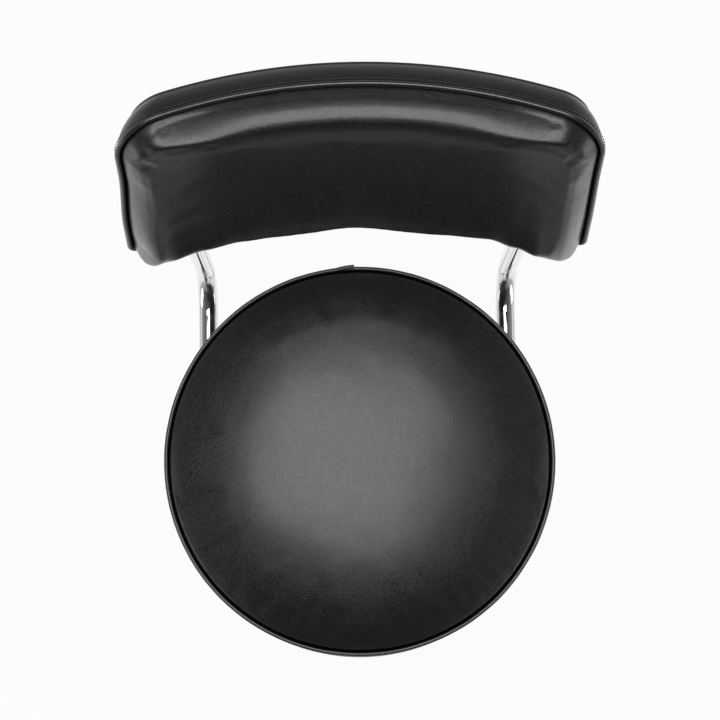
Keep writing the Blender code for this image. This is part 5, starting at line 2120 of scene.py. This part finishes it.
    def cushion(self) -> Mesh:
        """Make the front cushion as one closed, crowned form with a flat rear.

        Returns:
            The cushion.
        """
        outline = self.form.outline(self.panel_inset + self.crease)
        rear = ((0.45, self.floor), (0.80, self.floor), (0.975, self.floor), (0.997, 0.0014))
        rows = [
            [self.form.place(share * point.x, share * point.y, back) for point, _ in outline]
            for share, back in rear
        ]
        dense, inner = self.dense_steps, self.inner_steps
        shares = [1.0 - self.dense * (step / dense) ** 1.7 for step in range(dense + 1)]
        shares += [(1.0 - self.dense) * (1.0 - step / inner) for step in range(1, inner)]
        for share in shares:
            row = []
            for point, normal in outline:
                flat = share * point
                rim = (1.0 - share) * point.dot(normal)
                rise = self.rise(flat, rim)
                row.append(self.form.place(flat.x, flat.y + self.bulge(flat, rim), -rise))
            rows.append(row)
        tip = self.form.place(0.0, 0.0, -self.rise(Vector((0.0, 0.0)), self.form.height / 2.0))
        return lofted(rows, start=self.form.place(0.0, 0.0, self.floor), end=tip, crease=60.0)

    def swells(self, place: Vector) -> float:
        """Tell how freely the cushion swells at a place: not at all at its seam and rear.

        Args:
            place: The place.

        Returns:
            How freely, from 0 to 1.
        """
        off, lean_up = place - self.form.centre, self.form.lean_up
        forward = self.form.arc - (off - lean_up * off.dot(lean_up)).length
        return clamped((forward - self.sewn_depth) / self.free_depth)

    def boxing_section(self) -> list[tuple[float, float, float, float]]:
        """Draw the boxing's section, from the cord round its rear edge to the hem.

        Returns:
            Points as inset, end pinch, upper corner and place back.
        """
        section = []
        front, rear, roll = self.cord_radius + LEVELS.gap, self.box_rear, self.box_roll
        corner = self.form.top_corner
        for step in range(17):
            share = step / 16
            section.append(
                (
                    self.taper * (0.55 * share + 0.45 * share**3),
                    self.end_pinch * (0.7 * share + 0.3 * share**2),
                    between(corner, self.rear_corner, share),
                    between(front, rear - roll, share),
                )
            )
        for step in range(1, 9):
            turn = math.pi * step / 8
            inset = self.taper + roll * (1.0 - math.cos(turn)) / 1.6
            corner = self.rear_corner - inset + self.taper
            section.append((inset, self.end_pinch, corner, rear - roll * (1.0 - math.sin(turn))))
        section.append((self.panel_edge + self.hem / 2.0, self.end_pinch, corner, self.box_depth))
        section.append((self.panel_edge + self.hem, self.end_pinch, corner / 2.0, self.box_depth))
        return section

    def boxing(self) -> Mesh:
        """Make the boxing: a skin round the cushion's sides with mouths for the two tubes.

        Returns:
            The boxing.
        """
        blank = held("boxing", lofted([self.form.loop(*row) for row in self.boxing_section()]))
        shell = blank.modifiers.new("skin", "SOLIDIFY")
        shell.thickness = self.skin
        shell.offset = -1.0
        shell.use_even_offset = True
        radius, half = self.tube_radius + self.mouth_room, self.mouth_half
        cutters = []
        for side in (-1.0, 1.0):
            spot, along, lean_up, rearward = self.form.axes(side * self.tube_place)
            mesh = turned([(0.0, -half), (radius, -half), (radius, half), (0.0, half)], 48)
            frame_of_mouth = Matrix((-along, -rearward, lean_up)).transposed().to_4x4()
            drop = self.form.height / 2.0 - self.mouth_rise
            frame_of_mouth.translation = spot + rearward * self.tube_back - lean_up * drop
            mesh.transform(frame_of_mouth)
            cutters.append(held("mouth_cutter", finished(mesh)))
            hole = blank.modifiers.new("mouth", "BOOLEAN")
            hole.operation = "DIFFERENCE"
            hole.object = cutters[-1]
        mesh = evaluated(blank)
        for cutter in cutters:
            bpy.data.objects.remove(cutter, do_unlink=True)
        return finished(mesh, 50.0)

    def cord(self) -> Mesh:
        """Make the cord along the front seam.

        Returns:
            The cord.
        """
        rows: list[Row] = []
        for point, normal in self.form.outline(0.0):
            spot = self.form.place(point.x, point.y, 0.0)
            _, along, lean_up, rearward = self.form.axes(point.x)
            size = self.cord_radius * (1.0 + waved(spot, [self.cord_wave]))
            rows.append(hoop(spot, normal.x * along + normal.y * lean_up, rearward, size, 18))
        return lofted(rows, loop=True, crease=70.0)

    def stitch_path(self) -> Seam:
        """Find the path of the top stitching, just behind the cord on the boxing.

        Returns:
            The path.
        """
        path = []
        for point, normal in self.form.outline(-0.00005):
            _, along, lean_up, _ = self.form.axes(point.x)
            place = self.form.place(point.x, point.y, self.cord_radius + self.stitch_back)
            path.append((place, normal.x * along + normal.y * lean_up))
        return path

    def outer_panel(self) -> Mesh:
        """Make the covered panel on the rear, its edges rolled and its face slightly crowned.

        Returns:
            The panel.
        """
        front, thick = self.box_depth + LEVELS.gap, self.outer_thickness
        corner = self.rear_corner - self.panel_edge + self.taper
        first, last = self.outer_edge[0][0], self.outer_edge[-1][0]
        rows = [
            self.form.loop(self.panel_edge + first, self.end_pinch, corner, front, share)
            for share in (0.5, 0.9)
        ]
        for inset, depth in self.outer_edge:
            edge = self.panel_edge + inset
            rows.append(self.form.loop(edge, self.end_pinch, corner - inset, front + thick * depth))
        for step in range(1, 12):
            share = 1.0 - step / 12
            back = front + thick + self.outer_crown * (1.0 - share**6)
            rows.append(self.form.loop(self.panel_edge + last, self.end_pinch, corner - last, back, share))
        tips = [self.form.place(0.0, 0.0, back) for back in (front, front + thick + self.outer_crown)]
        return lofted(rows, start=tips[0], end=tips[1], crease=50.0)

    def build(self, kit: Kit) -> None:
        """Build and dress every piece of the backrest.

        Args:
            kit: The finishes, the patterns and the fasteners.
        """
        finishes, cushion = kit.finishes, self.cushion()
        PadBlower(cap=self.swelling).blow(cushion, self.swells)
        nodes = ["back_front_panel", "back_foam"]
        pad = show("back_cushion", cushion, finishes.vinyl, Body.SEAT, nodes)
        name, nodes = "back_side_cover", ["back_boxing", "back_filler"]
        box = show(name, self.boxing(), finishes.boxing, Body.SEAT, nodes)
        name = "back_edge_cord"
        show(name, self.cord(), finishes.piping, Body.SEAT, ["back_piping"])
        name, thread = "back_top_stitching", finishes.thread
        mesh = kit.row.make([self.stitch_path()], thread, self.stitch_pitch, self.stitch, closed=True)
        show(name, mesh, thread, Body.SEAT)
        name = "back_rear_panel"
        show(name, self.outer_panel(), finishes.vinyl, Body.SEAT, ["back_outer_panel"])


@dataclass(frozen=True)
class BackTubes:
    """Two bent chrome tubes from under the seat up into the backrest, with plugs and bolts."""

    form: BackForm = field(default_factory=BackForm)
    radius: float = 0.0095
    wall: float = 0.0015
    spacing: float = 0.294
    front_reach: float = 0.062
    setback: float = 0.190
    bend: float = 0.045
    arc_place: float = 0.1535
    entry_drop: float = 0.006
    top_place: float = 0.030
    entry_bend: float = 0.060
    back_place: float = 0.0118
    plug_depth: float = 0.014
    bolt: float = 0.003
    barrel: float = 0.0046
    barrel_length: float = 0.007
    flange: float = 0.009
    flange_thickness: float = 0.0015
    bolt_places: Span = (-0.040, 0.062)

    def path(self, side: float) -> Row:
        """Draw the route of one tube, its corners turned with arcs.

        Args:
            side: -1 for the left tube, 1 for the right.

        Returns:
            Its points.
        """
        half = side * self.spacing / 2.0
        entry = -self.form.height / 2.0 - self.entry_drop
        corners = [
            Vector((half, -self.front_reach, LEVELS.tubes)),
            Vector((half, self.setback, LEVELS.tubes)),
            self.form.place(side * self.arc_place, entry, self.back_place),
            self.form.place(side * self.arc_place, self.top_place, self.back_place),
        ]
        path = [corners[0]]
        bends = (self.bend, self.entry_bend)
        for before, corner, after, radius in zip(corners, corners[1:], corners[2:], bends):
            incoming, outgoing = (corner - before).normalized(), (after - corner).normalized()
            turn = incoming.angle(outgoing)
            start = corner - incoming * radius * math.tan(turn / 2.0)
            inward = (outgoing - incoming * outgoing.dot(incoming)).normalized()
            centre = start + inward * radius
            steps = max(6, round(turn / math.radians(3.5)))
            for step in range(steps + 1):
                angle = turn * step / steps
                path.append(centre + radius * (incoming * math.sin(angle) - inward * math.cos(angle)))
        path.append(corners[-1])
        return path

    def tube(self, side: float) -> Mesh:
        """Make one tube, open at both ends.

        Args:
            side: -1 for the left tube, 1 for the right.

        Returns:
            The tube.
        """
        frames = carried_frames(self.path(side))
        rows = [hoop(*axes, self.radius, 40) for axes in frames]
        rows += [hoop(*axes, self.radius - self.wall, 40) for axes in reversed(frames)]
        return lofted(rows, loop=True)

    def plug(self, side: float) -> Mesh:
        """Make the domed plug in a tube's front end.

        Args:
            side: -1 for the left tube, 1 for the right.

        Returns:
            The plug.
        """
        bore = self.radius * math.cos(math.pi / 12.0) - self.wall - LEVELS.gap
        depth = self.plug_depth
        profile = [(0.0, depth), (bore - 0.001, depth), (bore, depth - 0.002), (bore, -LEVELS.gap)]
        profile += [(self.radius, -LEVELS.gap), (self.radius, -0.0014), (self.radius - 0.0016, -0.0028)]
        profile.append((0.0, -0.0031))
        mesh = turned(eased(profile, 0.0006, 3, closed=False), 40)
        place = Matrix.Translation((side * self.spacing / 2.0, -self.front_reach, LEVELS.tubes))
        mesh.transform(place @ Matrix.Rotation(-math.pi / 2.0, 4, "X"))
        return mesh

    def bolts(self) -> Mesh:
        """Make the four bolts that hold the tubes up to the seat board, with their tee nuts.

        Returns:
            The bolts as one mesh.
        """
        head_seat = LEVELS.tubes - self.radius - LEVELS.gap
        top = LEVELS.board_top - self.flange_thickness - LEVELS.gap - head_seat
        low, high = top - self.barrel_length, top + self.flange_thickness
        head = [(0.0, -0.0035), (0.0030, -0.0034), (0.0048, -0.0026), (0.0055, -0.0012), (0.0055, 0.0)]
        shank = [(self.bolt, 0.0), (self.bolt, low), (self.barrel, low), (self.barrel, top)]
        flange = [(self.flange, top), (self.flange, high), (0.0, high)]
        meshes = []
        for side, place in product((-1.0, 1.0), self.bolt_places):
            mesh = turned(head + shank + flange, 32, crease=50.0)
            mesh.transform(Matrix.Translation((side * self.spacing / 2.0, place, head_seat)))
            meshes.append(mesh)
        return joined(meshes)

    def build(self, kit: Kit) -> None:
        """Build and dress the tubes and their fittings.

        Args:
            kit: The finishes, the patterns and the fasteners.
        """
        finishes = kit.finishes
        for label, plug, side in (("left", "tube_plug_1", -1.0), ("right", "tube_plug_2", 1.0)):
            name = "back_post_" + label
            show(name, self.tube(side), finishes.chrome, Body.SEAT, ["back_tube_" + label])
            name = "post_plug_" + label
            show(name, self.plug(side), finishes.plastic, Body.SEAT, [plug])
        nodes = numbered("seat_tube_bolt_", 4)
        show("post_bolts", self.bolts(), finishes.zinc, Body.SEAT, nodes)


@dataclass(frozen=True)
class Studio:
    """Camera, lamps, floor and background."""

    frame_side: float = 720.0
    focal: float = 2025.83
    sensor: float = 36.0
    clip: Span = (0.01, 50.0)
    camera: Triple = (-0.01905, -0.150, 1.900)
    tilt: Span = (0.60, 7.33)
    yaw: float = 0.22
    roll: float = -0.56
    overhead_place: Triple = (-0.14, 0.25, 3.1)
    overhead_aim: Triple = (-0.14, 0.25, 0.7)
    overhead_size: Span = (1.30, 1.30)
    overhead_power: float = 27.5
    overhead_turn: float = -12.0
    fill_place: Triple = (2.2, -0.9, 0.75)
    fill_aim: Triple = (0.0, 0.25, 0.95)
    fill_size: Span = (1.6, 1.2)
    fill_power: float = 8.0
    white: tuple[float, float, float, float] = (1.0, 1.0, 1.0, 1.0)
    world_light: float = 0.60
    ceiling: Fade = (0.0, 0.30, 0.50, 0.13)
    sides: Fade = (0.35, 0.95, 0.64, 1.9)
    floor_half: float = 6.0
    floor_colour: Colour = (0.86, 0.86, 0.86)
    floor_dull: float = 0.9
    floor_share: float = 0.90
    floor_fade: Fade = (1.1, 2.4, 1.0, 0.4)
    floor_heart: Triple = (0.0, 0.55, 0.0)

    def set_camera(self) -> None:
        """Set the camera over and slightly before the seat, looking almost straight down."""
        data = bpy.data.cameras.new("camera")
        data.sensor_width = self.sensor
        data.lens = self.focal * self.sensor / self.frame_side
        data.clip_start, data.clip_end = self.clip
        camera = bpy.data.objects.new("camera", data)
        bpy.context.scene.collection.objects.link(camera)
        ahead = Vector((math.sin(math.radians(self.tilt[0])), math.sin(math.radians(self.tilt[1])), 0.0))
        ahead.z = -math.sqrt(1.0 - ahead.length_squared)
        upward = (Vector((0.0, 1.0, 0.0)) - ahead * ahead.y).normalized()
        right = ahead.cross(upward)
        aim = Matrix((right, upward, -ahead)).transposed().to_4x4()
        aim.translation = (self.camera[0], self.camera[1], self.camera[2] + LEVELS.seam)
        yaw = Matrix.Rotation(math.radians(-self.yaw), 4, "Z")
        roll = Matrix.Rotation(math.radians(self.roll), 4, "Z")
        camera.matrix_world = Matrix.Translation(AXIS) @ yaw @ aim @ roll
        bpy.context.scene.camera = camera

    def lamp(
        self, name: str, place: Triple, aim: Triple, size: Span, power: float, turn: float = 0.0
    ) -> None:
        """Hang one soft rectangular lamp.

        Args:
            name: Name of the lamp.
            place: Where it hangs, from the swivel axis.
            aim: What it points at, from the swivel axis.
            size: Its width and height.
            power: Its power in watts.
            turn: How far it is turned about the way it points, in degrees.
        """
        data = bpy.data.lights.new(name, "AREA")
        data.shape = "RECTANGLE"
        data.size, data.size_y = size
        data.energy = power
        lamp = bpy.data.objects.new(name, data)
        bpy.context.scene.collection.objects.link(lamp)
        lamp.location = AXIS + Vector(place)
        lamp.rotation_mode = "QUATERNION"
        twist = Matrix.Rotation(math.radians(turn), 3, "Z").to_quaternion()
        lamp.rotation_quaternion = (Vector(aim) - Vector(place)).to_track_quat("-Z", "Y") @ twist

    def set_lamps(self) -> None:
        """Hang the overhead softbox and the lower side fills."""
        size, power = self.overhead_size, self.overhead_power
        self.lamp("overhead", self.overhead_place, self.overhead_aim, size, power, self.overhead_turn)
        across, ahead, up = self.fill_place
        for name, side in (("left_fill", -1.0), ("right_fill", 1.0)):
            self.lamp(name, (side * across, ahead, up), self.fill_aim, self.fill_size, self.fill_power)

    def set_world(self) -> None:
        """Set a plain surround: white to the camera, and to gloss white at the sides under a dark ceiling."""
        world = bpy.data.worlds.new("surround")
        world.use_nodes = True
        graph = NodeGraph(world.node_tree)
        dim = graph.tree.nodes["Background"]
        graph.fill(dim, Color=self.white, Strength=self.world_light)
        rays = graph.lay("ShaderNodeLightPath").outputs
        seen = graph.worked("MAXIMUM", rays["Is Camera Ray"], rays["Is Transmission Ray"])
        mirrored = graph.worked("MAXIMUM", seen, rays["Is Glossy Ray"])
        way = graph.lay("ShaderNodeTexCoord").outputs["Generated"]
        way = graph.lay("ShaderNodeSeparateXYZ", n0=way).outputs
        ceiling = graph.faded(way[2], self.ceiling)
        sides = graph.faded(graph.worked("ABSOLUTE", way[0]), self.sides)
        strength = graph.worked("MAXIMUM", seen, graph.worked("MULTIPLY", ceiling, sides))
        white = graph.lay("ShaderNodeBackground", Color=self.white, Strength=strength)
        mix = graph.lay("ShaderNodeMixShader", n0=mirrored, n1=dim.outputs[0], n2=white.outputs[0])
        graph.fill(graph.tree.nodes["World Output"], Surface=mix.outputs[0])
        bpy.context.scene.world = world

    def set_floor(self) -> None:
        """Lay a white floor that keeps a pale shadow of the stool."""
        half = self.floor_half
        corners = [(-half, -half, 0.0), (half, -half, 0.0), (half, half, 0.0), (-half, half, 0.0)]
        mesh = bpy.data.meshes.new("studio_floor")
        mesh.from_pydata(corners, [], [(0, 1, 2, 3)])
        recipe = Recipe("studio_floor", Base_Color=self.floor_colour, Roughness=self.floor_dull)
        rays = recipe.lay("ShaderNodeLightPath").outputs
        seen = recipe.worked("MAXIMUM", rays["Is Camera Ray"], rays["Is Glossy Ray"])
        away = recipe.lay(
            "ShaderNodeVectorMath", {"operation": "DISTANCE"}, n0=recipe.place, n1=self.floor_heart
        )
        faded = recipe.faded(away.outputs["Value"], self.floor_fade)
        strength = recipe.worked("MAXIMUM", rays["Is Camera Ray"], faded)
        white = recipe.lay("ShaderNodeEmission", Strength=strength)
        share = recipe.worked("MULTIPLY", seen, self.floor_share)
        mix = recipe.lay("ShaderNodeMixShader", n0=share, n1=recipe.shader.outputs[0], n2=white.outputs[0])
        recipe.fill(recipe.tree.nodes["Material Output"], Surface=mix.outputs[0])
        mesh.materials.append(recipe.material)
        held("studio_floor", mesh)

    def build(self) -> None:
        """Set up the whole studio."""
        self.set_camera()
        self.set_lamps()
        self.set_world()
        self.set_floor()
        bpy.context.scene.view_settings.view_transform = "Standard"


def dress_carried_nodes(finishes: Finishes) -> None:
    """Give the CAD nodes that stay their own finishes.

    Args:
        finishes: The stool's finishes.
    """
    kept = {"seat_board": finishes.plywood, "back_board": finishes.plywood, "ball_cage": finishes.zinc}
    kept.update({node: finishes.zinc for node in numbered("back_tube_bolt_", 4)})
    for node, finish in kept.items():
        piece = frame["nodes"][node]
        piece.data.materials.clear()
        piece.data.materials.append(finish)
        LOG.info("%s keeps its CAD form", node)


def main() -> None:
    """Build the studio and the stool, one sub-assembly after another."""
    logging.basicConfig(level=logging.INFO, format="%(message)s")
    Studio().build()
    kit = Kit()
    for assembly in (ChromeBase(), BallSwivel(), RoundSeat(), BentBack(), BackTubes()):
        assembly.build(kit)
    dress_carried_nodes(kit.finishes)


if __name__ == "__main__":
    main()
